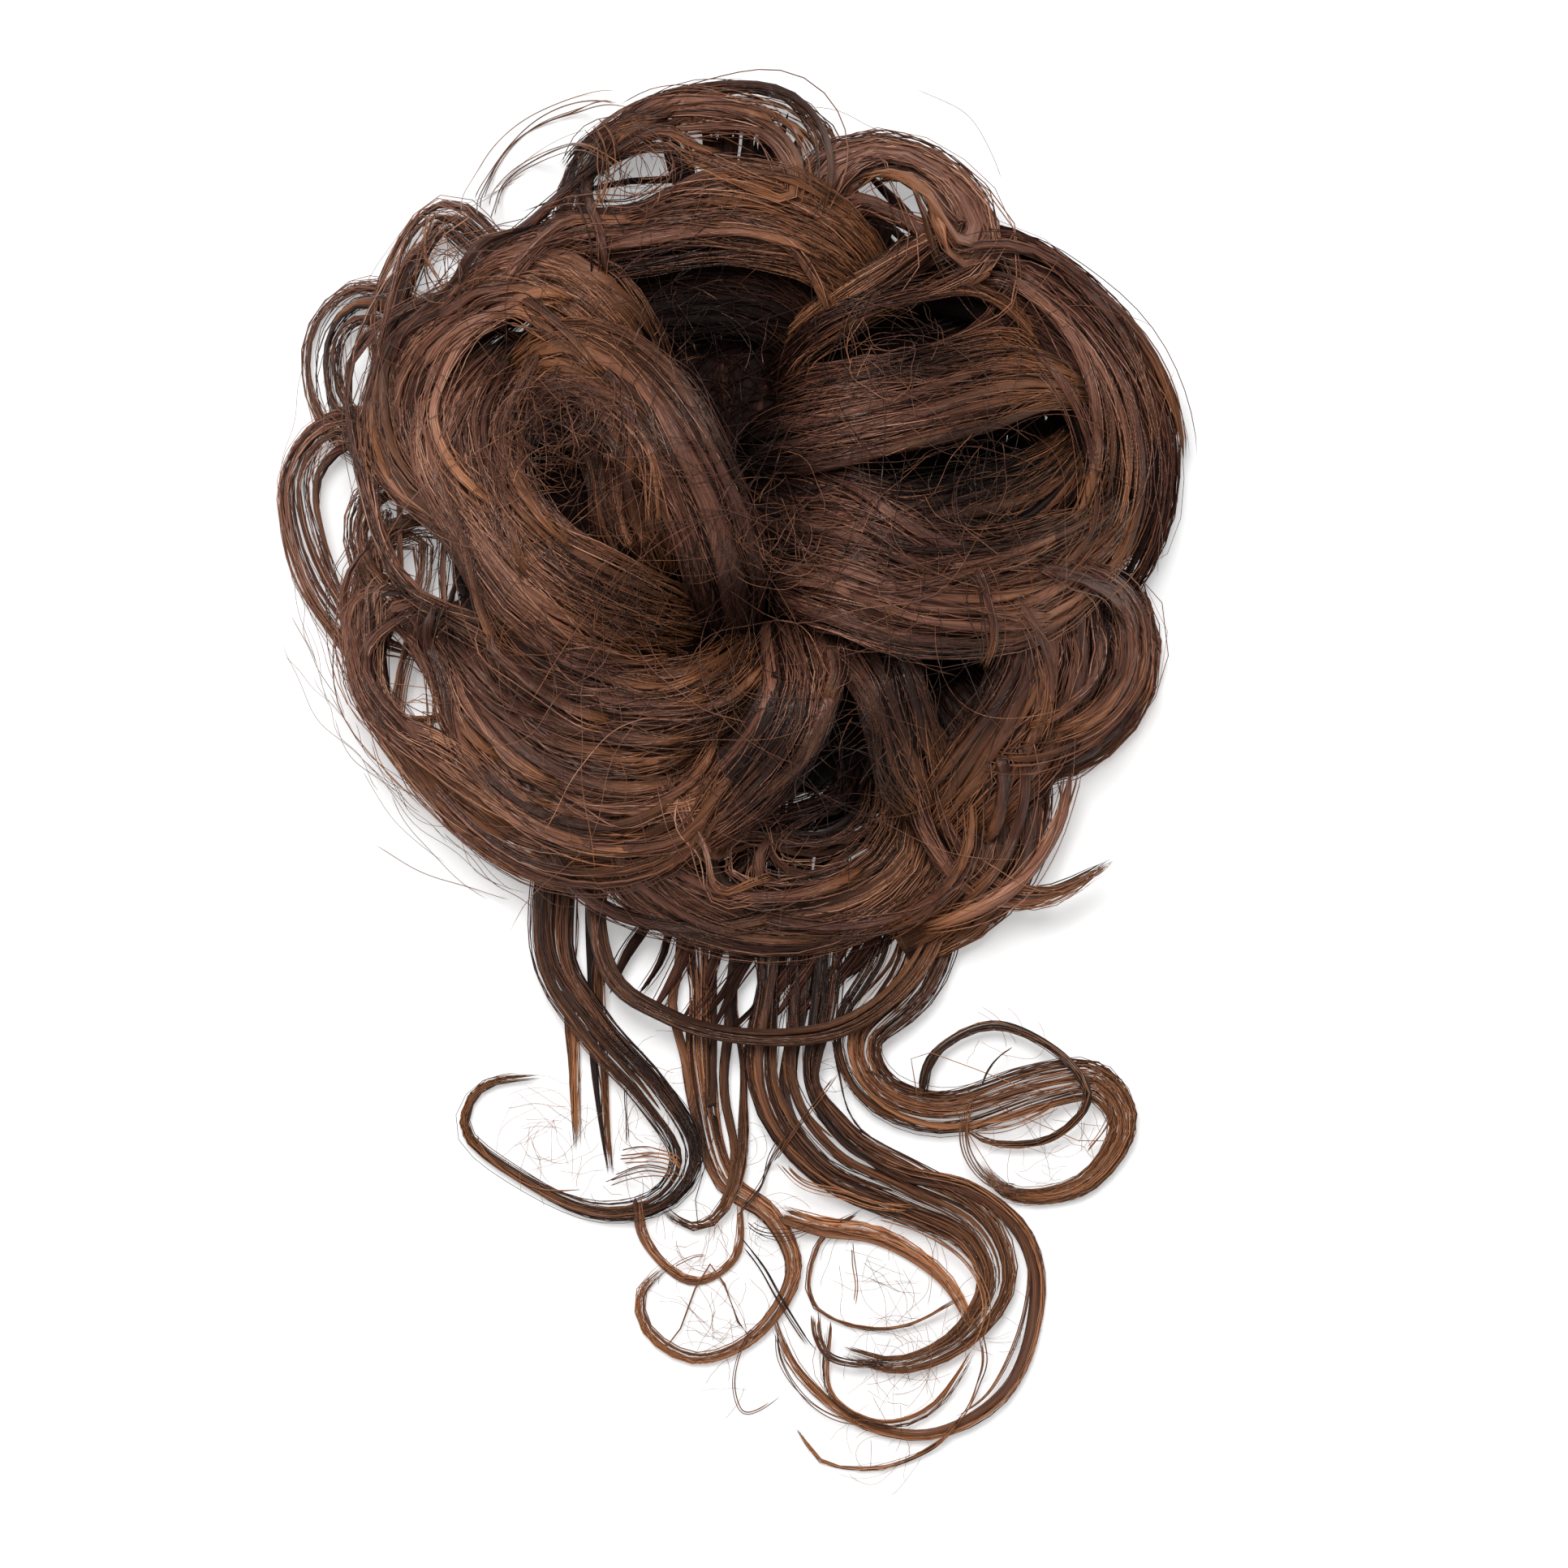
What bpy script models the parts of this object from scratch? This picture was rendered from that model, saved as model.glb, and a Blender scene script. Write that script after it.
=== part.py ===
"""Top knot hairpiece: a ring of wavy hair locks on an elastic band, with curled tendrils at its lower edge.

It lies front side up on a surface. X runs across the bun, Y runs from the tendrils up to the crown of the bun,
and Z is up from the surface. Lengths are in metres.
"""

import math
from collections import namedtuple

import bmesh
import bpy
import numpy as np

# The whole piece
BUN_WIDTH = 0.150
BUN_LENGTH = 0.145
PILE_DEPTH = 0.030
TAIL_LENGTH = 0.086
TAIL_RISE = 0.010

# The elastic band, a flat stretch tape sewn into a loop
BAND_BORE = 0.052
BAND_WALL = 0.0016
BAND_HEIGHT = 0.008
BAND_CHAMFER = 0.0003
BAND_SIDES = 24

# The weft and under-hair round the band, with the hollow for the wearer's own knot
WEFT_WALL = 0.020
WEFT_ROOF = 0.005
HOLLOW_HEIGHT = 0.018
WEFT_SIDES = 24
WEFT_ARC_STEPS = 5

# Locks: a full lock of the bun, and a full tendril
LOCK_WIDTH = 0.024
LOCK_DEPTH = 0.010
TENDRIL_WIDTH = 0.014
TENDRIL_DEPTH = 0.005
LOCK_SIDES = 8
TENDRIL_SIDES = 6
LOCK_SPACING = 0.0090
TENDRIL_SPACING = 0.0065
ROOT_SWELL = 0.25
ROOT_FULL = 0.6
TIP_TAPER = 0.35

# A tendril's depth shrinks less than its width where it narrows
THINNING = 0.75

# Corners that a cut leaves closer together than this are made one, where the body stays closed
SLIVER = 0.00025

# Free space left between two pieces that touch
GAP = 0.0003

# The flat side of a lock faces away from a point this far under the bun's centre
HEART_DROP = 0.055

Lock = namedtuple("Lock", "name width depth tip rows")
Tendril = namedtuple("Tendril", "name width depth rows")

# Bun locks, the uppermost first. width and depth are shares of LOCK_WIDTH and LOCK_DEPTH, and tip is the share
# of them left at the end. Each row is (across, along, lift): shares of half the bun's width, of half its length,
# and of PILE_DEPTH above the weft or the surface. A lift below 0 roots the lock in the weft.
BUN_LOCKS = (
    Lock("rosette_right", 0.60, 0.75, 0.3, (
        (0.01, -0.27, -0.10), (-0.01, -0.09, 0.55), (-0.08, 0.09, 0.82),
        (-0.19, 0.27, 0.90), (-0.35, 0.36, 0.80), (-0.50, 0.31, 0.45))),
    Lock("rosette_left", 0.84, 0.80, 0.6, (
        (-0.44, 0.40, 0.30), (-0.56, 0.22, 0.68), (-0.54, 0.04, 0.80),
        (-0.42, -0.13, 0.78), (-0.25, -0.23, 0.55), (-0.06, -0.27, -0.10))),
    Lock("mid_fall_left", 0.60, 0.65, 0.4, (
        (0.12, -0.20, -0.15), (0.16, -0.39, 0.62), (0.09, -0.54, 0.70),
        (-0.05, -0.67, 0.62), (-0.25, -0.76, 0.45), (-0.43, -0.78, 0.25))),
    Lock("right_inner_lower", 0.84, 0.70, 0.3, (
        (0.04, -0.09, -0.10), (0.21, -0.11, 0.58), (0.41, -0.17, 0.76),
        (0.61, -0.16, 0.74), (0.77, -0.08, 0.60), (0.88, 0.03, 0.42))),
    Lock("right_inner_upper", 0.58, 0.65, 0.3, (
        (0.03, 0.15, -0.10), (0.20, 0.19, 0.58), (0.41, 0.24, 0.74),
        (0.63, 0.30, 0.72), (0.80, 0.28, 0.55))),
    Lock("right_inner_middle", 0.66, 0.65, 0.3, (
        (0.04, 0.06, -0.10), (0.20, 0.00, 0.46), (0.38, -0.04, 0.54),
        (0.57, 0.00, 0.54), (0.70, 0.09, 0.50), (0.78, 0.20, 0.42))),
    Lock("left_sweep", 0.84, 0.75, 0.6, (
        (-0.42, 0.55, 0.10), (-0.62, 0.45, 0.42), (-0.72, 0.27, 0.48),
        (-0.68, 0.07, 0.50), (-0.52, -0.11, 0.46), (-0.32, -0.27, 0.30),
        (-0.14, -0.33, -0.15))),
    Lock("crown_left_arch", 0.62, 0.70, 0.5, (
        (-0.74, 0.14, 0.30), (-0.71, 0.35, 0.66), (-0.57, 0.49, 0.74),
        (-0.41, 0.54, 0.70), (-0.26, 0.44, 0.50), (-0.15, 0.27, -0.05))),
    Lock("top_band", 0.80, 0.70, 0.5, (
        (-0.56, 0.44, 0.15), (-0.40, 0.60, 0.48), (-0.18, 0.66, 0.60),
        (0.05, 0.68, 0.60), (0.23, 0.61, 0.48), (0.34, 0.48, 0.10))),
    Lock("right_inner_high", 0.54, 0.60, 0.3, (
        (0.08, 0.28, -0.10), (0.25, 0.38, 0.46), (0.43, 0.44, 0.54),
        (0.59, 0.43, 0.52), (0.71, 0.34, 0.36))),
    Lock("top_right_lobe", 0.60, 0.65, 0.5, (
        (0.14, 0.52, -0.20), (0.21, 0.74, 0.30), (0.33, 0.80, 0.42),
        (0.46, 0.74, 0.50), (0.52, 0.62, 0.54), (0.41, 0.52, 0.54),
        (0.25, 0.43, 0.36), (0.09, 0.33, -0.10))),
    Lock("right_big", 1.00, 0.85, 0.6, (
        (0.26, 0.38, -0.10), (0.42, 0.51, 0.16), (0.60, 0.53, 0.24),
        (0.77, 0.41, 0.28), (0.86, 0.24, 0.28), (0.88, 0.06, 0.26),
        (0.83, -0.10, 0.18), (0.71, -0.20, 0.00))),
    Lock("right_fall", 0.92, 0.80, 0.6, (
        (0.50, -0.02, 0.05), (0.64, -0.12, 0.40), (0.70, -0.28, 0.48),
        (0.66, -0.44, 0.46), (0.56, -0.60, 0.38), (0.45, -0.74, 0.22))),
    Lock("mid_fall_right", 0.62, 0.65, 0.4, (
        (0.22, -0.20, -0.15), (0.32, -0.37, 0.44), (0.37, -0.53, 0.48),
        (0.44, -0.68, 0.40))),
    Lock("wisp", 0.24, 0.36, 0.12, (
        (0.40, -0.40, -0.10), (0.41, -0.56, 0.46), (0.46, -0.72, 0.48),
        (0.55, -0.83, 0.42), (0.70, -0.85, 0.36), (0.85, -0.77, 0.34))),
    Lock("lower_sweep_inner", 0.62, 0.65, 0.5, (
        (-0.56, -0.18, 0.20), (-0.43, -0.36, 0.44), (-0.23, -0.43, 0.52),
        (-0.04, -0.40, 0.44), (0.08, -0.27, -0.10))),
    Lock("lower_sweep_middle", 0.68, 0.65, 0.5, (
        (-0.62, -0.26, 0.15), (-0.50, -0.46, 0.38), (-0.30, -0.57, 0.44),
        (-0.09, -0.55, 0.40), (0.06, -0.38, -0.15))),
    Lock("lower_sweep_outer", 0.68, 0.65, 0.5, (
        (-0.56, -0.08, -0.10), (-0.71, -0.30, 0.22), (-0.60, -0.51, 0.32),
        (-0.42, -0.65, 0.38), (-0.21, -0.68, 0.36), (-0.05, -0.60, 0.20),
        (0.02, -0.46, -0.15))),
    Lock("centre_deep", 0.60, 0.60, 0.5, (
        (0.16, -0.26, -0.20), (0.20, -0.46, 0.16), (0.18, -0.62, 0.18))),
    Lock("crown_middle", 0.64, 0.60, 0.5, (
        (-0.36, 0.46, 0.10), (-0.14, 0.50, 0.24), (0.07, 0.50, 0.22),
        (0.20, 0.38, -0.10))),
    Lock("rosette_eye", 0.64, 0.70, 0.6, (
        (-0.48, 0.22, 0.10), (-0.36, 0.26, 0.36), (-0.24, 0.18, 0.42),
        (-0.20, 0.00, 0.40), (-0.15, -0.15, -0.05))),
    Lock("lower_rim", 0.56, 0.70, 0.5, (
        (-0.58, -0.02, -0.16), (-0.77, -0.13, 0.06), (-0.77, -0.35, 0.12),
        (-0.64, -0.57, 0.18), (-0.46, -0.73, 0.20), (-0.28, -0.77, 0.18),
        (-0.12, -0.70, 0.08), (-0.06, -0.54, -0.08))),
    Lock("top_arch", 0.48, 0.60, 0.5, (
        (-0.32, 0.54, -0.20), (-0.33, 0.76, 0.12), (-0.17, 0.91, 0.18),
        (0.00, 0.94, 0.20), (0.14, 0.90, 0.18), (0.19, 0.76, 0.12),
        (0.14, 0.58, -0.20))),
    Lock("petal_top", 0.30, 0.50, 0.5, (
        (-0.40, 0.46, -0.20), (-0.53, 0.62, 0.10), (-0.63, 0.70, 0.14),
        (-0.71, 0.62, 0.14), (-0.76, 0.46, 0.12), (-0.72, 0.30, 0.06),
        (-0.54, 0.20, -0.20))),
    Lock("petal_middle", 0.32, 0.50, 0.5, (
        (-0.54, 0.34, -0.20), (-0.72, 0.47, 0.00), (-0.83, 0.50, 0.04),
        (-0.90, 0.41, 0.04), (-0.88, 0.26, 0.04), (-0.78, 0.18, 0.00),
        (-0.58, 0.12, -0.20))),
    Lock("petal_low", 0.38, 0.60, 0.5, (
        (-0.60, 0.10, -0.20), (-0.76, 0.19, -0.06), (-0.87, 0.20, -0.02),
        (-0.95, 0.09, -0.02), (-0.92, -0.10, -0.02), (-0.83, -0.25, -0.02),
        (-0.69, -0.38, -0.06), (-0.50, -0.37, -0.24))),
    Lock("petal_low_inner", 0.30, 0.50, 0.5, (
        (-0.58, 0.02, -0.15), (-0.76, 0.08, 0.16), (-0.81, -0.04, 0.18),
        (-0.74, -0.18, 0.16), (-0.58, -0.24, -0.10))),
    Lock("right_lower_lobe", 0.60, 0.65, 0.5, (
        (0.60, -0.10, -0.16), (0.78, -0.16, 0.02), (0.87, -0.25, 0.04),
        (0.86, -0.39, 0.04), (0.76, -0.50, 0.02), (0.62, -0.53, -0.04),
        (0.48, -0.44, -0.20))),
    Lock("low_right_lobe", 0.72, 0.65, 0.5, (
        (0.44, -0.34, -0.10), (0.58, -0.54, 0.14), (0.61, -0.68, 0.18),
        (0.58, -0.80, 0.18), (0.50, -0.90, 0.18), (0.38, -0.98, 0.16))),
    Lock("bottom_sweep_upper", 0.56, 0.60, 0.5, (
        (-0.04, -0.50, -0.10), (0.00, -0.68, 0.26), (0.09, -0.77, 0.34),
        (0.23, -0.76, 0.34), (0.31, -0.66, 0.24), (0.30, -0.46, -0.10))),
    Lock("bottom_sweep", 0.70, 0.65, 0.5, (
        (-0.28, -0.52, -0.06), (-0.22, -0.76, 0.14), (-0.06, -0.88, 0.20),
        (0.14, -0.91, 0.20), (0.32, -0.85, 0.20), (0.42, -0.72, 0.14),
        (0.38, -0.48, -0.06))),
)

# Tendrils, the finest first. width and depth are shares of TENDRIL_WIDTH and TENDRIL_DEPTH. Each row is
# (across, down, lift, fullness): shares of half the bun's width, of TAIL_LENGTH below the bun, of TAIL_RISE and
# of the tendril's own width. A down below 0 is a root: a share of the way from the bun's edge in to the weft.
TENDRILS = (
    Tendril("ring_right", 0.11, 0.30, (
        (0.42, 0.30, 0.25, 1.00), (0.45, 0.19, 0.30, 0.95), (0.58, 0.13, 0.35, 0.90),
        (0.72, 0.18, 0.55, 0.85), (0.79, 0.27, 0.65, 0.80), (0.71, 0.35, 0.35, 0.75),
        (0.58, 0.36, 0.20, 0.70), (0.50, 0.32, 0.45, 0.65))),
    Tendril("ring_tail_inner", 0.10, 0.30, (
        (0.30, 0.49, 0.30, 1.00), (0.20, 0.55, 0.10, 0.95), (0.18, 0.66, 0.10, 0.90),
        (0.27, 0.71, 0.10, 0.85), (0.39, 0.71, 0.15, 0.80), (0.52, 0.65, 0.45, 0.75))),
    Tendril("ring_tail_lower", 0.12, 0.30, (
        (0.22, 0.70, 0.45, 0.70), (0.22, 0.84, 0.10, 0.80), (0.33, 0.90, 0.20, 0.90),
        (0.45, 0.87, 0.10, 1.00), (0.54, 0.75, 0.40, 1.00))),
    Tendril("ring_tail_end", 0.09, 0.26, (
        (0.52, 0.88, 0.30, 1.00), (0.45, 0.95, 0.10, 0.95), (0.33, 0.99, 0.00, 0.85),
        (0.21, 0.98, 0.00, 0.75), (0.14, 0.91, 0.00, 0.60))),
    Tendril("ring_small", 0.10, 0.26, (
        (-0.21, 0.45, 0.45, 1.00), (-0.19, 0.55, 0.10, 0.90), (-0.09, 0.63, 0.00, 0.80),
        (0.01, 0.58, 0.10, 0.75), (0.02, 0.46, 0.40, 0.70))),
    Tendril("strand_left_fine", 0.17, 0.36, (
        (-0.35, -1.19, 0.10, 1.00), (-0.36, 0.00, 0.10, 1.00), (-0.35, 0.17, 0.05, 0.75),
        (-0.34, 0.38, 0.00, 0.35))),
    Tendril("strand_left", 0.24, 0.44, (
        (-0.29, -1.19, 0.50, 1.00), (-0.30, 0.00, 0.30, 1.00), (-0.29, 0.22, 0.10, 0.80),
        (-0.27, 0.43, 0.00, 0.35))),
    Tendril("tendril_middle_fine", 0.24, 0.44, (
        (0.04, -1.19, 0.20, 1.00), (0.02, 0.00, 0.30, 1.00), (0.01, 0.20, 0.10, 0.85),
        (0.02, 0.38, 0.10, 0.65), (-0.02, 0.49, 0.30, 0.45), (-0.09, 0.52, 0.10, 0.36),
        (-0.17, 0.47, 0.00, 0.30))),
    Tendril("tail_light", 0.22, 0.40, (
        (0.10, 0.49, 0.30, 1.00), (0.20, 0.52, 0.20, 1.00), (0.33, 0.54, 0.10, 0.85),
        (0.47, 0.62, 0.10, 0.65), (0.55, 0.74, 0.35, 0.45))),
    Tendril("tendril_cross", 0.25, 0.55, (
        (-0.31, -1.19, 0.60, 0.80), (-0.28, 0.00, 0.80, 0.80), (-0.14, 0.11, 0.90, 0.75),
        (0.05, 0.15, 0.95, 0.75), (0.25, 0.13, 0.90, 0.90), (0.40, 0.03, 0.80, 1.00),
        (0.50, -0.49, 0.60, 1.00))),
    Tendril("tail_outer", 0.22, 0.46, (
        (0.26, 0.37, 0.20, 1.00), (0.38, 0.42, 0.40, 1.00), (0.53, 0.45, 0.40, 1.00),
        (0.65, 0.54, 0.10, 0.90), (0.68, 0.67, 0.00, 0.80), (0.62, 0.83, 0.10, 0.70),
        (0.46, 0.92, 0.10, 0.60), (0.29, 0.90, 0.10, 0.50), (0.15, 0.80, 0.00, 0.42),
        (0.09, 0.68, 0.00, 0.34))),
    Tendril("tendril_middle", 0.44, 0.60, (
        (-0.06, -1.19, 0.20, 1.00), (-0.08, 0.00, 0.20, 1.00), (-0.07, 0.22, 0.10, 0.85),
        (-0.02, 0.42, 0.00, 0.68), (0.09, 0.50, 0.10, 0.50), (0.14, 0.61, 0.10, 0.38),
        (0.06, 0.73, 0.05, 0.30), (-0.07, 0.78, 0.00, 0.24), (-0.18, 0.73, 0.00, 0.20),
        (-0.20, 0.65, 0.00, 0.18), (-0.13, 0.59, 0.00, 0.16))),
    Tendril("tendril_left", 0.50, 0.75, (
        (-0.36, -1.19, 0.10, 1.00), (-0.40, -0.10, 0.25, 1.00), (-0.31, 0.13, 0.30, 0.95),
        (-0.18, 0.26, 0.25, 0.90), (-0.10, 0.38, 0.15, 0.75), (-0.16, 0.47, 0.10, 0.50),
        (-0.30, 0.49, 0.05, 0.34), (-0.46, 0.43, 0.00, 0.22), (-0.59, 0.34, 0.00, 0.17),
        (-0.55, 0.25, 0.00, 0.14), (-0.41, 0.23, 0.00, 0.12))),
    Tendril("tendril_right", 0.90, 0.75, (
        (0.46, -1.12, 0.10, 1.00), (0.40, 0.00, 0.25, 1.00), (0.28, 0.15, 0.30, 0.66),
        (0.33, 0.26, 0.20, 0.52), (0.48, 0.30, 0.15, 0.54), (0.68, 0.25, 0.25, 0.58),
        (0.81, 0.24, 0.25, 0.48), (0.87, 0.33, 0.15, 0.34), (0.78, 0.44, 0.05, 0.25),
        (0.63, 0.46, 0.00, 0.17), (0.54, 0.39, 0.05, 0.11))),
    Tendril("tail_main", 1.00, 0.95, (
        (0.18, -1.19, 0.10, 1.00), (0.14, 0.06, 0.20, 1.00), (0.13, 0.25, 0.20, 0.92),
        (0.23, 0.38, 0.20, 0.80), (0.39, 0.45, 0.15, 0.68), (0.54, 0.52, 0.15, 0.56),
        (0.59, 0.63, 0.15, 0.42), (0.51, 0.74, 0.10, 0.28), (0.37, 0.79, 0.05, 0.18),
        (0.24, 0.76, 0.05, 0.11))),
)

BROWN = (0.060, 0.022, 0.014, 1.0)
LIGHT_BROWN = (0.110, 0.042, 0.018, 1.0)
DARK_BROWN = (0.024, 0.011, 0.009, 1.0)
ELASTIC_BLACK = (0.012, 0.011, 0.011, 1.0)


def clear_scene():
    for obj in list(bpy.data.objects):
        bpy.data.objects.remove(obj)


def hair_material(name, colour, roughness):
    material = bpy.data.materials.new(name)
    material.use_nodes = True
    shader = material.node_tree.nodes["Principled BSDF"]
    shader.inputs["Base Color"].default_value = colour
    shader.inputs["Roughness"].default_value = roughness
    shader.inputs["Metallic"].default_value = 0.0
    return material


def add_object(name, mesh, material):
    mesh.materials.append(material)
    obj = bpy.data.objects.new(name, mesh)
    bpy.context.collection.objects.link(obj)
    return obj


def weft_radius():
    return hollow_radius() + WEFT_WALL


def hollow_radius():
    return BAND_BORE / 2 + BAND_WALL + GAP


def weft_height():
    return HOLLOW_HEIGHT + WEFT_ROOF


def ground_height(x, y):
    """Height of the smooth hill that the locks are laid over: the weft in the middle, the surface further out."""
    reach = 1.4 * weft_radius()
    share = min(1.0, math.hypot(x, y) / reach)
    return weft_height() * (1.0 - share**2) ** 1.5


def turned_mesh(name, profile, sides):
    """A closed body turned round Z from a profile of (radius, height), which is a closed outline."""
    shape = bmesh.new()
    corners = [shape.verts.new((radius, 0.0, height)) for radius, height in profile]
    edges = [shape.edges.new(pair) for pair in zip(corners, corners[1:] + corners[:1])]
    bmesh.ops.spin(
        shape, geom=corners + edges, cent=(0, 0, 0), axis=(0, 0, 1), angle=2 * math.pi, steps=sides
    )
    bmesh.ops.remove_doubles(shape, verts=shape.verts, dist=1e-6)
    on_axis = [edge for edge in shape.edges if edge.calc_length() > 0 and all(
        math.hypot(end.co.x, end.co.y) < 1e-7 for end in edge.verts)]
    bmesh.ops.delete(shape, geom=on_axis, context="EDGES")
    bmesh.ops.recalc_face_normals(shape, faces=shape.faces)
    mesh = bpy.data.meshes.new(name)
    shape.to_mesh(mesh)
    shape.free()
    return mesh


def quarter_ellipse(radius, height, steps):
    """Points from the foot of a dome, at the radius, up to its top on the axis."""
    turns = [math.pi / 2 * step / steps for step in range(steps + 1)]
    return [(radius * math.cos(turn), height * math.sin(turn)) for turn in turns[:-1]] + [(0.0, height)]


def band_mesh():
    inner = BAND_BORE / 2
    outer = inner + BAND_WALL
    cut = BAND_CHAMFER
    profile = [
        (inner + cut, 0.0), (outer - cut, 0.0), (outer, cut), (outer, BAND_HEIGHT - cut),
        (outer - cut, BAND_HEIGHT), (inner + cut, BAND_HEIGHT), (inner, BAND_HEIGHT - cut), (inner, cut),
    ]
    return turned_mesh("elastic_band", profile, BAND_SIDES)


def weft_mesh():
    """A domed shell: thick hair round the band, thin over the hollow that takes the wearer's own knot."""
    outside = quarter_ellipse(weft_radius(), weft_height(), WEFT_ARC_STEPS)
    inside = quarter_ellipse(hollow_radius(), HOLLOW_HEIGHT - BAND_HEIGHT, WEFT_ARC_STEPS)
    inside = [(hollow_radius(), 0.0)] + [(radius, BAND_HEIGHT + rise) for radius, rise in inside]
    return turned_mesh("weft_base", outside + inside[::-1], WEFT_SIDES)


def weft_cutter_mesh():
    """The weft's outer form, filled and GAP larger, which trims each lock where it is rooted."""
    dome = quarter_ellipse(weft_radius() + GAP, weft_height() + GAP, WEFT_ARC_STEPS)
    foot = -weft_height()
    return turned_mesh("weft_cutter", [(0.0, foot), (weft_radius() + GAP, foot)] + dome, WEFT_SIDES)


def smooth_path(points, spacing):
    """Points of a curve through the given ones, evenly spaced along it. Values after x, y and z go with them."""
    points = np.array(points, float)
    ends = [2 * points[0] - points[1], *points, 2 * points[-1] - points[-2]]
    fine = []
    for before, start, end, after in zip(ends, ends[1:], ends[2:], ends[3:]):
        for step in range(16):
            t = step / 16
            fine.append(0.5 * (
                2 * start + (end - before) * t + (2 * before - 5 * start + 4 * end - after) * t**2
                + (3 * start - before - 3 * end + after) * t**3))
    fine = np.array(fine + [points[-1]])
    lengths = np.r_[0.0, np.cumsum(np.linalg.norm(np.diff(fine[:, :3], axis=0), axis=1))]
    count = max(4, round(lengths[-1] / spacing))
    wanted = np.linspace(0.0, lengths[-1], count + 1)
    return np.stack([np.interp(wanted, lengths, column) for column in fine.T], axis=1)


def unit(vector):
    return vector / max(np.linalg.norm(vector), 1e-12)


def frames_along(path, outward_at):
    """For each point of a path: its direction, and the direction that the lock's flat side faces."""
    along = np.gradient(path, axis=0)
    facing = outward_at(path[0])
    frames = []
    for point, direction in zip(path, along):
        direction = unit(direction)
        wanted = outward_at(point)
        facing = 0.35 * facing + 0.65 * wanted
        facing = unit(facing - direction * facing.dot(direction))
        frames.append((direction, facing))
    return frames


def fullness(share, tip):
    """How full a lock is, from its root at 0 to its end at 1."""
    swell = ROOT_FULL + (1 - ROOT_FULL) * min(1.0, share / ROOT_SWELL)
    fade = min(1.0, max(0.0, (share - 1 + TIP_TAPER) / TIP_TAPER))
    return min(swell, 1 - (1 - tip) * fade**1.5)


def swept_mesh(name, path, frames, half_widths, half_depths, sides, swell):
    """A closed body with an oval section, swept along a path and raised clear of the surface it lies on.

    With a swell, the body is that much larger on every side.
    """
    shape = bmesh.new()
    rings = []
    for step, (point, (direction, facing)) in enumerate(zip(path, frames)):
        side = np.cross(direction, facing)
        droop = math.hypot(side[2] * half_widths[step], facing[2] * half_depths[step])
        centre = np.array((point[0], point[1], max(point[2], droop)))
        if step == 0:
            centre = centre - direction * swell
        if step == len(path) - 1:
            centre = centre + direction * swell
        ring = []
        for corner in range(sides):
            turn = 2 * math.pi * (corner + 0.5) / sides
            across = side * (half_widths[step] + swell) * math.cos(turn)
            upward = facing * (half_depths[step] + swell) * math.sin(turn)
            ring.append(shape.verts.new(centre + across + upward))
        rings.append(ring)
    for first, second in zip(rings, rings[1:]):
        for corner in range(sides):
            after = (corner + 1) % sides
            shape.faces.new((first[corner], first[after], second[after]))
            shape.faces.new((first[corner], second[after], second[corner]))
    shape.faces.new(rings[0][::-1])
    shape.faces.new(rings[-1])
    bmesh.ops.recalc_face_normals(shape, faces=shape.faces)
    mesh = bpy.data.meshes.new(name)
    shape.to_mesh(mesh)
    shape.free()
    return mesh


def bun_outward(point):
    return unit(point + (0, 0, HEART_DROP))


def tail_outward(point):
    return np.array((0.0, 0.0, 1.0))


def lock_mesh(lock, swell=0.0):
    """The body of a bun lock, or with a swell the slightly larger form that clears it."""
    points = []
    half_depth = lock.depth * LOCK_DEPTH / 2
    for across, along, lift in lock.rows:
        x, y = across * BUN_WIDTH / 2, along * BUN_LENGTH / 2
        points.append((x, y, ground_height(x, y) + half_depth + lift * PILE_DEPTH))
    path = smooth_path(points, LOCK_SPACING)
    shares = [fullness(share, lock.tip) for share in np.linspace(0, 1, len(path))]
    widths = [share * lock.width * LOCK_WIDTH / 2 for share in shares]
    depths = [share * half_depth for share in shares]
    frames = frames_along(path, bun_outward)
    return swept_mesh(lock.name, path, frames, widths, depths, LOCK_SIDES, swell)


def tendril_mesh(tendril, swell=0.0):
    points = []
    half_depth = tendril.depth * TENDRIL_DEPTH / 2
    for across, down, lift, full in tendril.rows:
        reach = TAIL_LENGTH if down > 0 else BUN_LENGTH / 2 - weft_radius()
        x, y = across * BUN_WIDTH / 2, -BUN_LENGTH / 2 - down * reach
        points.append((x, y, half_depth + lift * TAIL_RISE, full))
    path = smooth_path(points, TENDRIL_SPACING)
    path, shares = path[:, :3], path[:, 3]
    widths = shares * tendril.width * TENDRIL_WIDTH / 2
    depths = shares**THINNING * half_depth
    frames = frames_along(path, tail_outward)
    return swept_mesh(tendril.name, path, frames, widths, depths, TENDRIL_SIDES, swell)


def box_of(mesh):
    points = np.array([vertex.co for vertex in mesh.vertices])
    return points.min(axis=0), points.max(axis=0)


def meet(first, second):
    (low_a, high_a), (low_b, high_b) = box_of(first), box_of(second)
    return bool(np.all(low_a <= high_b) and np.all(low_b <= high_a))


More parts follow.
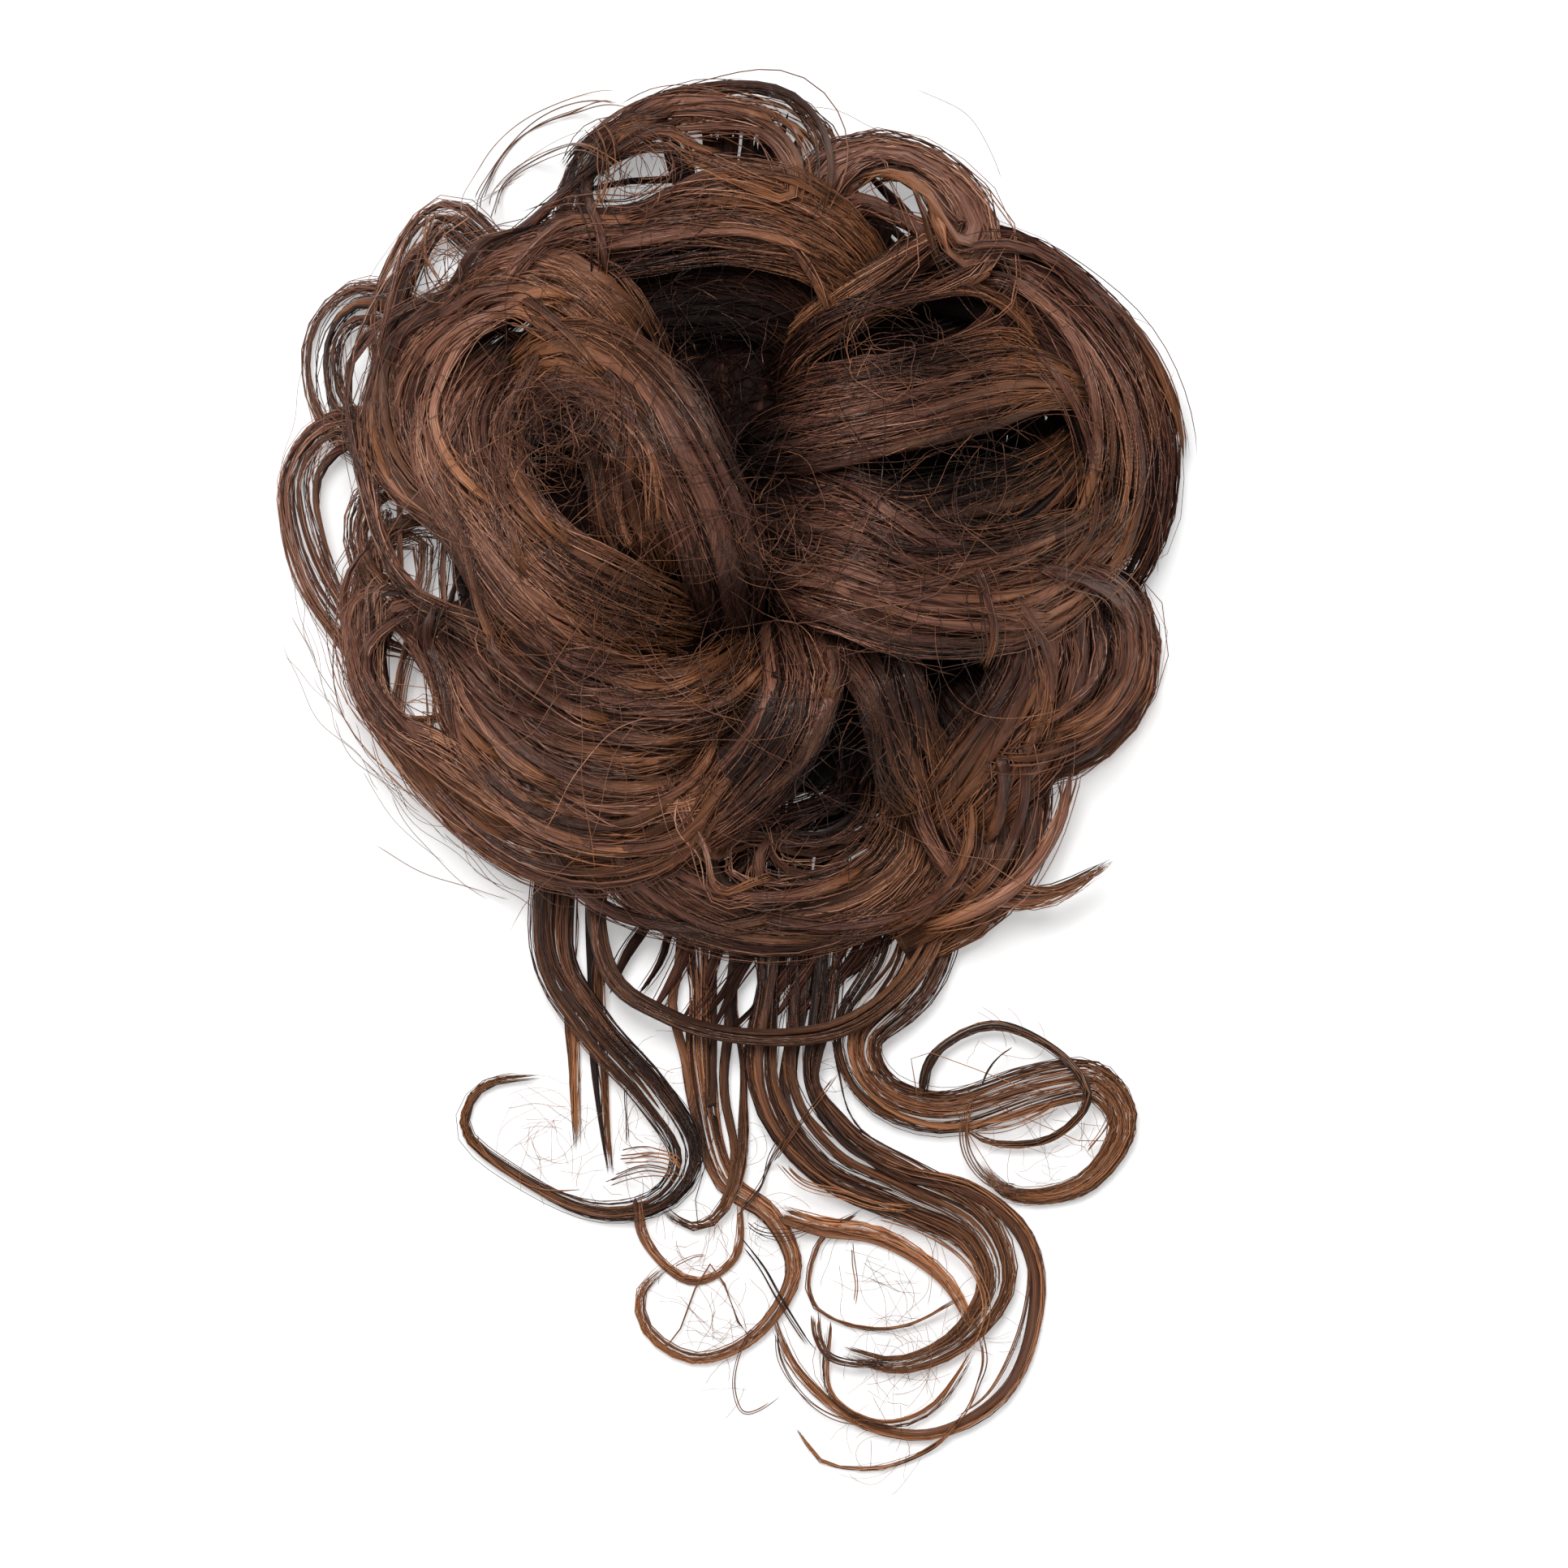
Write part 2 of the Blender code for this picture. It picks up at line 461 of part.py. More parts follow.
def keep_largest_island(mesh):
    """A lock that its neighbours cut through keeps its larger stretch."""
    shape = bmesh.new()
    shape.from_mesh(mesh)
    waiting = set(shape.faces)
    islands = []
    while waiting:
        island, growing = set(), {waiting.pop()}
        while growing:
            face = growing.pop()
            island.add(face)
            near = {other for edge in face.edges if len(edge.link_faces) == 2 for other in edge.link_faces}
            growing |= near & waiting
            waiting -= near
        islands.append(island)
    largest = max(islands, key=lambda island: sum(face.calc_area() for face in island))
    for island in islands:
        if island is not largest:
            bmesh.ops.delete(shape, geom=list(island), context="FACES")
    merged = shape.copy()
    bmesh.ops.remove_doubles(merged, verts=merged.verts, dist=SLIVER)
    closed = all(len(edge.link_faces) == 2 for edge in merged.edges)
    (merged if closed else shape).to_mesh(mesh)
    merged.free()
    shape.free()


def trim(obj, cutters):
    """Cuts from obj the space of each cutter that reaches it."""
    for cutter in cutters:
        if meet(obj.data, cutter.data):
            clearance = obj.modifiers.new("clear_" + cutter.name, "BOOLEAN")
            clearance.operation = "DIFFERENCE"
            clearance.solver = "EXACT"
            clearance.object = cutter
    if not obj.modifiers:
        return
    graph = bpy.context.evaluated_depsgraph_get()
    mesh = bpy.data.meshes.new_from_object(obj.evaluated_get(graph))
    obj.modifiers.clear()
    mesh.name = obj.name
    obj.data = mesh
    keep_largest_island(mesh)


def add_cutter(name, mesh):
    cutter = bpy.data.objects.new(name, mesh)
    bpy.context.collection.objects.link(cutter)
    cutter.hide_render = True
    cutter.display_type = "WIRE"
    return cutter


def build_locks(materials):
    """Each lock is trimmed by the weft and by the locks before it in the tables, which stay whole."""
    cutters = [add_cutter("weft_cutter", weft_cutter_mesh())]
    built = []
    for tables, make in ((TENDRILS, tendril_mesh), (BUN_LOCKS, lock_mesh)):
        for lock in tables:
            material = materials["tendril"] if make is tendril_mesh else materials["lock"]
            obj = add_object(lock.name, make(lock), material)
            trim(obj, cutters)
            built.append(obj)
            cutters.append(add_cutter("around_" + lock.name, make(lock, GAP)))
    for cutter in cutters:
        bpy.data.objects.remove(cutter)
    return built


def centre_on_origin(objects):
    """Moves everything so that the origin is under the middle of the whole piece, on the surface."""
    boxes = [box_of(obj.data) for obj in objects]
    low = np.min([box[0] for box in boxes], axis=0)
    high = np.max([box[1] for box in boxes], axis=0)
    for obj in objects:
        obj.location = (-(low[0] + high[0]) / 2, -(low[1] + high[1]) / 2, 0.0)


def main():
    clear_scene()
    materials = {
        "lock": hair_material("brown_hair", BROWN, 0.45),
        "tendril": hair_material("light_brown_hair", LIGHT_BROWN, 0.45),
        "weft": hair_material("dark_brown_hair", DARK_BROWN, 0.55),
        "elastic": hair_material("black_elastic", ELASTIC_BLACK, 0.85),
    }
    band = add_object("elastic_band", band_mesh(), materials["elastic"])
    weft = add_object("weft_base", weft_mesh(), materials["weft"])
    locks = build_locks(materials)
    for obj in [band, weft, *locks]:
        obj.data.shade_smooth()
        obj.data.set_sharp_from_angle(angle=math.radians(40))
    centre_on_origin([band, weft, *locks])


main()
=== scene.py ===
"""Dresses a top knot hairpiece: wavy locks of brown hair round an elastic band, with curled tendrils below.

Every lock and tendril follows the path of the solid that it stands for. It is made of flat wisps with single
hairs laid over them, and a broad lock has a core too, darkened with painted shade. Lengths are in metres.
"""

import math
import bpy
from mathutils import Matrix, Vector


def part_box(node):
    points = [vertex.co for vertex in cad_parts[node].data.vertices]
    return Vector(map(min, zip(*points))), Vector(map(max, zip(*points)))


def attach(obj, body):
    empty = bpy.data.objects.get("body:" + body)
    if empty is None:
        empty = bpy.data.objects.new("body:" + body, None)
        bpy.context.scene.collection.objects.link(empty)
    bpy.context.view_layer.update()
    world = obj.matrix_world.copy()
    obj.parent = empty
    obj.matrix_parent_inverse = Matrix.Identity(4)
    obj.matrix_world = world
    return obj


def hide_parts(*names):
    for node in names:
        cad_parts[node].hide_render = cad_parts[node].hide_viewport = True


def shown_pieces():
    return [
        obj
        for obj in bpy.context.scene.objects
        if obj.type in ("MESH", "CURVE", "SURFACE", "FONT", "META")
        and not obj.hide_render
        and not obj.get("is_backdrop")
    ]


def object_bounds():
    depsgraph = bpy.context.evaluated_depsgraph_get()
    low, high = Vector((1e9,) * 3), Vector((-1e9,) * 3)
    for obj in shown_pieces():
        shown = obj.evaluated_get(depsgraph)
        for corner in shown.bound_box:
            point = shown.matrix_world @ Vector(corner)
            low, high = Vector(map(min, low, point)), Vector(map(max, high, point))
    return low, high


bl_info = {
    "name": "Top Knot Hairpiece",
    "version": (1, 0, 0),
    "blender": (4, 5, 0),
    "location": "View3D > Sidebar > Hairpiece",
    "description": "Dresses a top knot hairpiece in locks, tendrils and loose hairs",
    "category": "Object",
}

from collections import namedtuple

import bpy
import numpy as np
from bpy.props import FloatProperty, FloatVectorProperty, IntProperty, PointerProperty

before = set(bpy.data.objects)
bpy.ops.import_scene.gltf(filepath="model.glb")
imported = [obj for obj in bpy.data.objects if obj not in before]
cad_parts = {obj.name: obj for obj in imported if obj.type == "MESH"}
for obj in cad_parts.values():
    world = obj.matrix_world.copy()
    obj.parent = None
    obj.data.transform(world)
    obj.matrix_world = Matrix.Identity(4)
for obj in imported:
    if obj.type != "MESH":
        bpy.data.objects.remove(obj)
CAD_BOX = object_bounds()

SEED = 20
UV_MAP = "OFBake"
LOCK_FINISH = "brown_hair_finish"
TENDRIL_FINISH = "light_brown_hair_finish"
UNDER_FINISH = "under_hair_finish"

# Tones run from 0, the darkest hair, to 1, the lightest, and lie between these limits on the UV map
TONE_LIMITS = (0.004, 0.996)
# How much lighter a lock's ridge is than its sides: painted highlight on the ridge and painted shade on its
# sides and underside
RIDGE_LIGHT = 0.14
# Locks darker than this tone take the finish of the under-hair
DARK_LOCK = 0.25
# Locks wider than this get a core. RIDGE_WIDTH is the width of one ridge of a core, or of one lane of a
# thin lock.
BROAD_LOCK = 0.0137
RIDGE_WIDTH = 0.0016
# Tendrils wider than this are made with longer steps. LANE_WIDTH is the width of one lane of a tendril,
# and TENDRIL_HAIRS is the number of single hairs for each metre of its width.
BROAD_TENDRIL = 0.0032
LANE_WIDTH = 0.0012
TENDRIL_HAIRS = 6500
# How many single hairs lie over the bun, round its rim, over the weft's dome and under its foot, and how many
# wisps hang at the nape
BUN_HAIRS = 300
RIM_HAIRS = 66
DOME_HAIRS = 420
FOOT_HAIRS = 260
NAPE_WISPS = 13
# The distance between points of a path, in locks, tendrils and thin strands
LOCK_SPACING = 0.0025
TENDRIL_SPACING = 0.0015
STRAND_SPACING = 0.0005
# The grid that records how high the hair lies: the side of a cell, and the margin round the hairpiece
RELIEF_CELL = 0.002
RELIEF_MARGIN = 0.02
# How far to either side of a parting hair moves, in its half widths, and how often the moves are evened out
COMB_REACH = 1.45
COMB_PASSES = 3

# The stage. CAMERA_OFFSET is from the middle of the ring, and frame_width is measured at PICTURE_HEIGHT.
FLOOR_REACH = 3.0
SENSOR_WIDTH = 36.0
CAMERA_OFFSET = (0.00884, -0.04365)
PICTURE_HEIGHT = 0.015
SOFTBOX_SIZE = 0.55
SOFTBOX_PLACE = (-0.12, 0.42, 1.30)

# The sizes that the solids were made with
BUN_WIDTH = 0.150
BUN_LENGTH = 0.145
PILE_DEPTH = 0.030
TAIL_LENGTH = 0.086
TAIL_RISE = 0.010
BAND_BORE = 0.052
BAND_WALL = 0.0016
BAND_HEIGHT = 0.008
WEFT_WALL = 0.020
WEFT_ROOF = 0.005
HOLLOW_HEIGHT = 0.018
LOCK_WIDTH = 0.024
LOCK_DEPTH = 0.010
TENDRIL_WIDTH = 0.014
TENDRIL_DEPTH = 0.005
HEART_DROP = 0.055
ROOT_SWELL = 0.25
ROOT_FULL = 0.6
TIP_TAPER = 0.35
THINNING = 0.75
GAP = 0.0003
HILL_REACH = 1.4

Lock = namedtuple("Lock", "name width depth tip rows")
Tendril = namedtuple("Tendril", "name width depth rows")

# Bun locks, the uppermost first. width and depth are shares of LOCK_WIDTH and LOCK_DEPTH, and tip is the
# share of them left at the end. Each row is (across, along, lift): shares of half the bun's width, of half
# its length and of PILE_DEPTH above the weft or the surface. A lift below 0 roots the lock in the weft.
BUN_LOCKS = (
    Lock("rosette_right", 0.60, 0.75, 0.3, (
        (0.01, -0.27, -0.10), (-0.01, -0.09, 0.55), (-0.08, 0.09, 0.82),
        (-0.19, 0.27, 0.90), (-0.35, 0.36, 0.80), (-0.50, 0.31, 0.45))),
    Lock("rosette_left", 0.84, 0.80, 0.6, (
        (-0.44, 0.40, 0.30), (-0.56, 0.22, 0.68), (-0.54, 0.04, 0.80),
        (-0.42, -0.13, 0.78), (-0.25, -0.23, 0.55), (-0.06, -0.27, -0.10))),
    Lock("mid_fall_left", 0.60, 0.65, 0.4, (
        (0.12, -0.20, -0.15), (0.16, -0.39, 0.62), (0.09, -0.54, 0.70),
        (-0.05, -0.67, 0.62), (-0.25, -0.76, 0.45), (-0.43, -0.78, 0.25))),
    Lock("right_inner_lower", 0.84, 0.70, 0.3, (
        (0.04, -0.09, -0.10), (0.21, -0.11, 0.58), (0.41, -0.17, 0.76),
        (0.61, -0.16, 0.74), (0.77, -0.08, 0.60), (0.88, 0.03, 0.42))),
    Lock("right_inner_upper", 0.58, 0.65, 0.3, (
        (0.03, 0.15, -0.10), (0.20, 0.19, 0.58), (0.41, 0.24, 0.74),
        (0.63, 0.30, 0.72), (0.80, 0.28, 0.55))),
    Lock("right_inner_middle", 0.66, 0.65, 0.3, (
        (0.04, 0.06, -0.10), (0.20, 0.00, 0.46), (0.38, -0.04, 0.54),
        (0.57, 0.00, 0.54), (0.70, 0.09, 0.50), (0.78, 0.20, 0.42))),
    Lock("left_sweep", 0.84, 0.75, 0.6, (
        (-0.42, 0.55, 0.10), (-0.62, 0.45, 0.42), (-0.72, 0.27, 0.48),
        (-0.68, 0.07, 0.50), (-0.52, -0.11, 0.46), (-0.32, -0.27, 0.30),
        (-0.14, -0.33, -0.15))),
    Lock("crown_left_arch", 0.62, 0.70, 0.5, (
        (-0.74, 0.14, 0.30), (-0.71, 0.35, 0.66), (-0.57, 0.49, 0.74),
        (-0.41, 0.54, 0.70), (-0.26, 0.44, 0.50), (-0.15, 0.27, -0.05))),
    Lock("top_band", 0.80, 0.70, 0.5, (
        (-0.56, 0.44, 0.15), (-0.40, 0.60, 0.48), (-0.18, 0.66, 0.60),
        (0.05, 0.68, 0.60), (0.23, 0.61, 0.48), (0.34, 0.48, 0.10))),
    Lock("right_inner_high", 0.54, 0.60, 0.3, (
        (0.08, 0.28, -0.10), (0.25, 0.38, 0.46), (0.43, 0.44, 0.54),
        (0.59, 0.43, 0.52), (0.71, 0.34, 0.36))),
    Lock("top_right_lobe", 0.60, 0.65, 0.5, (
        (0.14, 0.52, -0.20), (0.21, 0.74, 0.30), (0.33, 0.80, 0.42),
        (0.46, 0.74, 0.50), (0.52, 0.62, 0.54), (0.41, 0.52, 0.54),
        (0.25, 0.43, 0.36), (0.09, 0.33, -0.10))),
    Lock("right_big", 1.00, 0.85, 0.6, (
        (0.26, 0.38, -0.10), (0.42, 0.51, 0.16), (0.60, 0.53, 0.24),
        (0.77, 0.41, 0.28), (0.86, 0.24, 0.28), (0.88, 0.06, 0.26),
        (0.83, -0.10, 0.18), (0.71, -0.20, 0.00))),
    Lock("right_fall", 0.92, 0.80, 0.6, (
        (0.50, -0.02, 0.05), (0.64, -0.12, 0.40), (0.70, -0.28, 0.48),
        (0.66, -0.44, 0.46), (0.56, -0.60, 0.38), (0.45, -0.74, 0.22))),
    Lock("mid_fall_right", 0.62, 0.65, 0.4, (
        (0.22, -0.20, -0.15), (0.32, -0.37, 0.44), (0.37, -0.53, 0.48),
        (0.44, -0.68, 0.40))),
    Lock("wisp", 0.24, 0.36, 0.12, (
        (0.40, -0.40, -0.10), (0.41, -0.56, 0.46), (0.46, -0.72, 0.48),
        (0.55, -0.83, 0.42), (0.70, -0.85, 0.36), (0.85, -0.77, 0.34))),
    Lock("lower_sweep_inner", 0.62, 0.65, 0.5, (
        (-0.56, -0.18, 0.20), (-0.43, -0.36, 0.44), (-0.23, -0.43, 0.52),
        (-0.04, -0.40, 0.44), (0.08, -0.27, -0.10))),
    Lock("lower_sweep_middle", 0.68, 0.65, 0.5, (
        (-0.62, -0.26, 0.15), (-0.50, -0.46, 0.38), (-0.30, -0.57, 0.44),
        (-0.09, -0.55, 0.40), (0.06, -0.38, -0.15))),
    Lock("lower_sweep_outer", 0.68, 0.65, 0.5, (
        (-0.56, -0.08, -0.10), (-0.71, -0.30, 0.22), (-0.60, -0.51, 0.32),
        (-0.42, -0.65, 0.38), (-0.21, -0.68, 0.36), (-0.05, -0.60, 0.20),
        (0.02, -0.46, -0.15))),
    Lock("centre_deep", 0.60, 0.60, 0.5, (
        (0.16, -0.26, -0.20), (0.20, -0.46, 0.16), (0.18, -0.62, 0.18))),
    Lock("crown_middle", 0.64, 0.60, 0.5, (
        (-0.36, 0.46, 0.10), (-0.14, 0.50, 0.24), (0.07, 0.50, 0.22),
        (0.20, 0.38, -0.10))),
    Lock("rosette_eye", 0.64, 0.70, 0.6, (
        (-0.48, 0.22, 0.10), (-0.36, 0.26, 0.36), (-0.24, 0.18, 0.42),
        (-0.20, 0.00, 0.40), (-0.15, -0.15, -0.05))),
    Lock("lower_rim", 0.56, 0.70, 0.5, (
        (-0.58, -0.02, -0.16), (-0.77, -0.13, 0.06), (-0.77, -0.35, 0.12),
        (-0.64, -0.57, 0.18), (-0.46, -0.73, 0.20), (-0.28, -0.77, 0.18),
        (-0.12, -0.70, 0.08), (-0.06, -0.54, -0.08))),
    Lock("top_arch", 0.48, 0.60, 0.5, (
        (-0.32, 0.54, -0.20), (-0.33, 0.76, 0.12), (-0.17, 0.91, 0.18),
        (0.00, 0.94, 0.20), (0.14, 0.90, 0.18), (0.19, 0.76, 0.12),
        (0.14, 0.58, -0.20))),
    Lock("petal_top", 0.30, 0.50, 0.5, (
        (-0.40, 0.46, -0.20), (-0.53, 0.62, 0.10), (-0.63, 0.70, 0.14),
        (-0.71, 0.62, 0.14), (-0.76, 0.46, 0.12), (-0.72, 0.30, 0.06),
        (-0.54, 0.20, -0.20))),
    Lock("petal_middle", 0.32, 0.50, 0.5, (
        (-0.54, 0.34, -0.20), (-0.72, 0.47, 0.00), (-0.83, 0.50, 0.04),
        (-0.90, 0.41, 0.04), (-0.88, 0.26, 0.04), (-0.78, 0.18, 0.00),
        (-0.58, 0.12, -0.20))),
    Lock("petal_low", 0.38, 0.60, 0.5, (
        (-0.60, 0.10, -0.20), (-0.76, 0.19, -0.06), (-0.87, 0.20, -0.02),
        (-0.95, 0.09, -0.02), (-0.92, -0.10, -0.02), (-0.83, -0.25, -0.02),
        (-0.69, -0.38, -0.06), (-0.50, -0.37, -0.24))),
    Lock("petal_low_inner", 0.30, 0.50, 0.5, (
        (-0.58, 0.02, -0.15), (-0.76, 0.08, 0.16), (-0.81, -0.04, 0.18),
        (-0.74, -0.18, 0.16), (-0.58, -0.24, -0.10))),
    Lock("right_lower_lobe", 0.60, 0.65, 0.5, (
        (0.60, -0.10, -0.16), (0.78, -0.16, 0.02), (0.87, -0.25, 0.04),
        (0.86, -0.39, 0.04), (0.76, -0.50, 0.02), (0.62, -0.53, -0.04),
        (0.48, -0.44, -0.20))),
    Lock("low_right_lobe", 0.72, 0.65, 0.5, (
        (0.44, -0.34, -0.10), (0.58, -0.54, 0.14), (0.61, -0.68, 0.18),
        (0.58, -0.80, 0.18), (0.50, -0.90, 0.18), (0.38, -0.98, 0.16))),
    Lock("bottom_sweep_upper", 0.56, 0.60, 0.5, (
        (-0.04, -0.50, -0.10), (0.00, -0.68, 0.26), (0.09, -0.77, 0.34),
        (0.23, -0.76, 0.34), (0.31, -0.66, 0.24), (0.30, -0.46, -0.10))),
    Lock("bottom_sweep", 0.70, 0.65, 0.5, (
        (-0.28, -0.52, -0.06), (-0.22, -0.76, 0.14), (-0.06, -0.88, 0.20),
        (0.14, -0.91, 0.20), (0.32, -0.85, 0.20), (0.42, -0.72, 0.14),
        (0.38, -0.48, -0.06))),
)

# Tendrils, the finest first. width and depth are shares of TENDRIL_WIDTH and TENDRIL_DEPTH. Each row is
# (across, down, lift, fullness): shares of half the bun's width, of TAIL_LENGTH below the bun, of
# TAIL_RISE and of the tendril's own width. A down below 0 is a root: a share of the way from the bun's
# edge in to the weft.
TENDRILS = (
    Tendril("ring_right", 0.11, 0.30, (
        (0.42, 0.30, 0.25, 1.00), (0.45, 0.19, 0.30, 0.95), (0.58, 0.13, 0.35, 0.90),
        (0.72, 0.18, 0.55, 0.85), (0.79, 0.27, 0.65, 0.80), (0.71, 0.35, 0.35, 0.75),
        (0.58, 0.36, 0.20, 0.70), (0.50, 0.32, 0.45, 0.65))),
    Tendril("ring_tail_inner", 0.10, 0.30, (
        (0.30, 0.49, 0.30, 1.00), (0.20, 0.55, 0.10, 0.95), (0.18, 0.66, 0.10, 0.90),
        (0.27, 0.71, 0.10, 0.85), (0.39, 0.71, 0.15, 0.80), (0.52, 0.65, 0.45, 0.75))),
    Tendril("ring_tail_lower", 0.12, 0.30, (
        (0.22, 0.70, 0.45, 0.70), (0.22, 0.84, 0.10, 0.80), (0.33, 0.90, 0.20, 0.90),
        (0.45, 0.87, 0.10, 1.00), (0.54, 0.75, 0.40, 1.00))),
    Tendril("ring_tail_end", 0.09, 0.26, (
        (0.52, 0.88, 0.30, 1.00), (0.45, 0.95, 0.10, 0.95), (0.33, 0.99, 0.00, 0.85),
        (0.21, 0.98, 0.00, 0.75), (0.14, 0.91, 0.00, 0.60))),
    Tendril("ring_small", 0.10, 0.26, (
        (-0.21, 0.45, 0.45, 1.00), (-0.19, 0.55, 0.10, 0.90), (-0.09, 0.63, 0.00, 0.80),
        (0.01, 0.58, 0.10, 0.75), (0.02, 0.46, 0.40, 0.70))),
    Tendril("strand_left_fine", 0.17, 0.36, (
        (-0.35, -1.19, 0.10, 1.00), (-0.36, 0.00, 0.10, 1.00), (-0.35, 0.17, 0.05, 0.75),
        (-0.34, 0.38, 0.00, 0.35))),
    Tendril("strand_left", 0.24, 0.44, (
        (-0.29, -1.19, 0.50, 1.00), (-0.30, 0.00, 0.30, 1.00), (-0.29, 0.22, 0.10, 0.80),
        (-0.27, 0.43, 0.00, 0.35))),
    Tendril("tendril_middle_fine", 0.24, 0.44, (
        (0.04, -1.19, 0.20, 1.00), (0.02, 0.00, 0.30, 1.00), (0.01, 0.20, 0.10, 0.85),
        (0.02, 0.38, 0.10, 0.65), (-0.02, 0.49, 0.30, 0.45), (-0.09, 0.52, 0.10, 0.36),
        (-0.17, 0.47, 0.00, 0.30))),
    Tendril("tail_light", 0.22, 0.40, (
        (0.10, 0.49, 0.30, 1.00), (0.20, 0.52, 0.20, 1.00), (0.33, 0.54, 0.10, 0.85),
        (0.47, 0.62, 0.10, 0.65), (0.55, 0.74, 0.35, 0.45))),
    Tendril("tendril_cross", 0.25, 0.55, (
        (-0.31, -1.19, 0.60, 0.80), (-0.28, 0.00, 0.80, 0.80), (-0.14, 0.11, 0.90, 0.75),
        (0.05, 0.15, 0.95, 0.75), (0.25, 0.13, 0.90, 0.90), (0.40, 0.03, 0.80, 1.00),
        (0.50, -0.49, 0.60, 1.00))),
    Tendril("tail_outer", 0.22, 0.46, (
        (0.26, 0.37, 0.20, 1.00), (0.38, 0.42, 0.40, 1.00), (0.53, 0.45, 0.40, 1.00),
        (0.65, 0.54, 0.10, 0.90), (0.68, 0.67, 0.00, 0.80), (0.62, 0.83, 0.10, 0.70),
        (0.46, 0.92, 0.10, 0.60), (0.29, 0.90, 0.10, 0.50), (0.15, 0.80, 0.00, 0.42),
        (0.09, 0.68, 0.00, 0.34))),
    Tendril("tendril_middle", 0.44, 0.60, (
        (-0.06, -1.19, 0.20, 1.00), (-0.08, 0.00, 0.20, 1.00), (-0.07, 0.22, 0.10, 0.85),
        (-0.02, 0.42, 0.00, 0.68), (0.09, 0.50, 0.10, 0.50), (0.14, 0.61, 0.10, 0.38),
        (0.06, 0.73, 0.05, 0.30), (-0.07, 0.78, 0.00, 0.24), (-0.18, 0.73, 0.00, 0.20),
        (-0.20, 0.65, 0.00, 0.18), (-0.13, 0.59, 0.00, 0.16))),
    Tendril("tendril_left", 0.50, 0.75, (
        (-0.36, -1.19, 0.10, 1.00), (-0.40, -0.10, 0.25, 1.00), (-0.31, 0.13, 0.30, 0.95),
        (-0.18, 0.26, 0.25, 0.90), (-0.10, 0.38, 0.15, 0.75), (-0.16, 0.47, 0.10, 0.50),
        (-0.30, 0.49, 0.05, 0.34), (-0.46, 0.43, 0.00, 0.22), (-0.59, 0.34, 0.00, 0.17),
        (-0.55, 0.25, 0.00, 0.14), (-0.41, 0.23, 0.00, 0.12))),
    Tendril("tendril_right", 0.90, 0.75, (
        (0.46, -1.12, 0.10, 1.00), (0.40, 0.00, 0.25, 1.00), (0.28, 0.15, 0.30, 0.66),
        (0.33, 0.26, 0.20, 0.52), (0.48, 0.30, 0.15, 0.54), (0.68, 0.25, 0.25, 0.58),
        (0.81, 0.24, 0.25, 0.48), (0.87, 0.33, 0.15, 0.34), (0.78, 0.44, 0.05, 0.25),
        (0.63, 0.46, 0.00, 0.17), (0.54, 0.39, 0.05, 0.11))),
    Tendril("tail_main", 1.00, 0.95, (
        (0.18, -1.19, 0.10, 1.00), (0.14, 0.06, 0.20, 1.00), (0.13, 0.25, 0.20, 0.92),
        (0.23, 0.38, 0.20, 0.80), (0.39, 0.45, 0.15, 0.68), (0.54, 0.52, 0.15, 0.56),
        (0.59, 0.63, 0.15, 0.42), (0.51, 0.74, 0.10, 0.28), (0.37, 0.79, 0.05, 0.18),
        (0.24, 0.76, 0.05, 0.11))),
)


def ground_middle(node):
    """The middle of a node's box, brought down to the surface."""
    low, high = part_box(node)
    return np.array(low + high) / 2 * (1, 1, 0)


RING = ground_middle("weft_base")
HOLLOW_RADIUS = BAND_BORE / 2 + BAND_WALL + GAP
WEFT_RADIUS = HOLLOW_RADIUS + WEFT_WALL
WEFT_HEIGHT = HOLLOW_HEIGHT + WEFT_ROOF


def smoothstep(low, high, value):
    share = np.clip((value - low) / (high - low), 0, 1)
    return share * share * (3 - 2 * share)


def unit(vectors):
    return vectors / np.maximum(np.linalg.norm(vectors, axis=-1, keepdims=True), 1e-12)


def full_turn(count):
    """Angles evenly spaced round a circle."""
    return 2 * math.pi * np.arange(count) / count


def ridged(count, low):
    """1 at every other corner of a round section, and low between them."""
    return np.where(np.arange(count) % 2 == 0, 1.0, low)


def smoothed(rows, passes):
    """Rows of values, each evened out along its length."""
    for _ in range(passes):
        padded = np.pad(rows, ((0, 0), (1, 1)), mode="edge")
        rows = (padded[:, :-2] + 2 * padded[:, 1:-1] + padded[:, 2:]) / 4
    return rows


def inset(shares):
    """Shares along a hair, kept a little inside the UV map."""
    return 0.01 + 0.98 * shares


def sideways(lines):
    """The level way across each line, at each of its points."""
    return np.cross(unit(np.gradient(lines, axis=1)), (0, 0, 1.0))


def bun_point(across, along):
    """A point of the picture plane from shares of half the bun's width and of half its length."""
    return np.stack([across * BUN_WIDTH / 2, along * BUN_LENGTH / 2], axis=-1) + RING[:2]


def tail_point(across, down):
    """A point of the picture plane from shares of half the bun's width and of TAIL_LENGTH below the bun."""
    return np.stack([across * BUN_WIDTH / 2, -BUN_LENGTH / 2 - down * TAIL_LENGTH], axis=-1) + RING[:2]


def about_ring(radius, turn, height):
    """Points at these radii, turns and heights about the middle of the ring."""
    radius, turn, height = np.broadcast_arrays(radius, turn, height)
    return np.stack([radius * np.cos(turn), radius * np.sin(turn), height], axis=-1) + RING


def ground_height(x, y):
    """Height of the smooth hill that the locks are laid over."""
    share = np.minimum(1.0, np.hypot(x, y) / (HILL_REACH * WEFT_RADIUS))
    return WEFT_HEIGHT * (1.0 - share**2) ** 1.5


